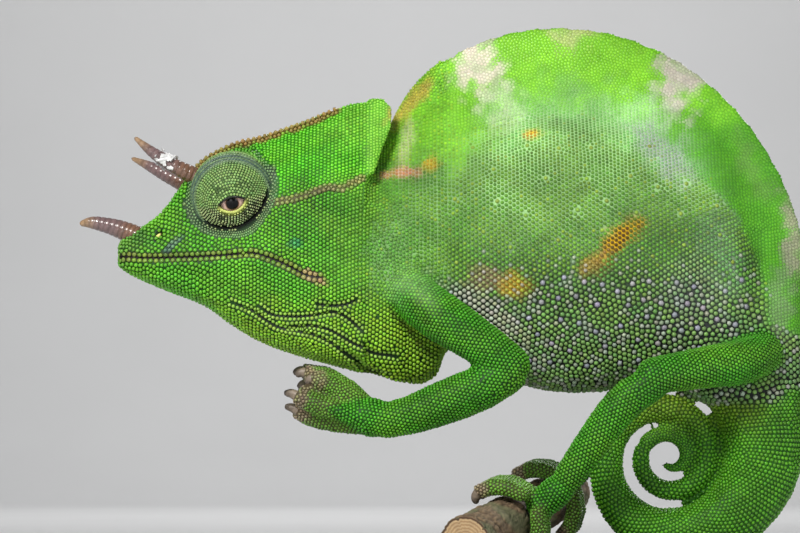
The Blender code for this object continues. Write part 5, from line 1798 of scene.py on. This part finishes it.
# Studio. A light is its name, place, aim, size, energy and colour.
TARGET = (-21.6, 0.0, 62.7)
CAMERA_DISTANCE = 500.0
CAMERA_TILT = -4.0
LENS = 125.0
SWEEP_START = 1250.0
SWEEP_RADIUS = 400.0
FLOOR_REACH = 2600.0
WALL_HEIGHT = 2500.0
MODEL_MIDDLE = (-15, 0, 60)
LIGHTS = (
    ("key", (-225, -412, 390), MODEL_MIDDLE, 150, 3.3, (1.0, 0.98, 0.94)),
    ("fill", (330, -420, 120), MODEL_MIDDLE, 320, 0.55, (0.94, 0.97, 1.0)),
    ("rim", (220, 330, 330), MODEL_MIDDLE, 200, 1.4, (1.0, 1.0, 1.0)),
    ("low", (-120, -420, 20), MODEL_MIDDLE, 200, 0.25, (1.0, 1.0, 1.0)),
    ("wall", (0, 700, 700), (0, 1650, 150), 400, 5.5, (1.0, 1.0, 1.0)),
)


def make_camera():
    camera = bpy.data.objects.new("camera", bpy.data.cameras.new("camera"))
    tilt = math.radians(CAMERA_TILT)
    out = Vector((0, -math.cos(tilt), math.sin(tilt)))
    camera.location = (Vector(TARGET) + CAMERA_DISTANCE * out) * MM
    camera.rotation_euler = (-out).to_track_quat("-Z", "Y").to_euler()
    camera.data.lens = LENS
    camera.data.sensor_width = 36.0
    camera.data.clip_start = 0.01
    bpy.context.scene.collection.objects.link(camera)
    bpy.context.scene.camera = camera
    bpy.context.scene.view_settings.view_transform = "Standard"


def make_lights():
    for name, place, aim, size, energy, tone in LIGHTS:
        light = bpy.data.lights.new(name, "AREA")
        light.shape = "DISK"
        light.size = size * MM
        light.energy = energy
        light.color = tone
        obj = bpy.data.objects.new(name, light)
        obj.location = Vector(place) * MM
        obj.rotation_euler = (Vector(aim) - Vector(place)).to_track_quat("-Z", "Y").to_euler()
        obj.visible_camera = False
        bpy.context.scene.collection.objects.link(obj)
    world = bpy.data.worlds.new("studio")
    world.use_nodes = True
    background = world.node_tree.nodes["Background"]
    background.inputs["Color"].default_value = (0.80, 0.82, 0.85, 1)
    background.inputs["Strength"].default_value = 0.26
    bpy.context.scene.world = world


def make_floor():
    """A floor that curves up into a wall behind the model."""
    turns = np.radians(np.linspace(0, 90, 24))
    curved = SWEEP_START + SWEEP_RADIUS * np.sin(turns)
    depth = np.concatenate([[-FLOOR_REACH], curved, [SWEEP_START + SWEEP_RADIUS]])
    height = np.concatenate([[0], SWEEP_RADIUS * (1 - np.cos(turns)), [WALL_HEIGHT]])
    points = np.array([(x, y, z) for y, z in zip(depth, height) for x in (-FLOOR_REACH, FLOOR_REACH)])
    faces = []
    for row in range(len(depth) - 1):
        faces += [(2 * row, 2 * row + 1, 2 * row + 3), (2 * row, 2 * row + 3, 2 * row + 2)]
    floor = new_object("studio_floor", points, np.array(faces))
    pale, shader = new_material("pale_floor", 0.8)
    add_grey(pale, shader, 9.0, 2.0, 0.66, 0.70)
    floor.data.materials.append(pale)


def dress(frame, skin, materials):
    """Makes every piece of the model round the skin."""
    gap_tone = paint(skin.points, skin.shares)[1]
    body = new_object("skin", skin.points, skin.triangles, gap_tone)
    corner_map = unwrap(body)
    flesh = [name for names in REGIONS.values() for name in names]
    finish_piece(body, materials["skin"], "skin", *flesh)
    scales = make_scales(skin, frame["nodes"])
    dress_scales(skin, scales, corner_map)
    make_coat(scales, materials)
    make_eyes(materials)
    make_horns(materials)
    make_flake(materials)
    make_nostril_flake(skin, materials)
    make_claws(materials)
    make_perch(materials)
    make_stand(materials)


def main():
    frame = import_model()
    make_camera()
    make_lights()
    make_floor()
    dress(frame, make_skin(frame["nodes"]), make_materials())


main()
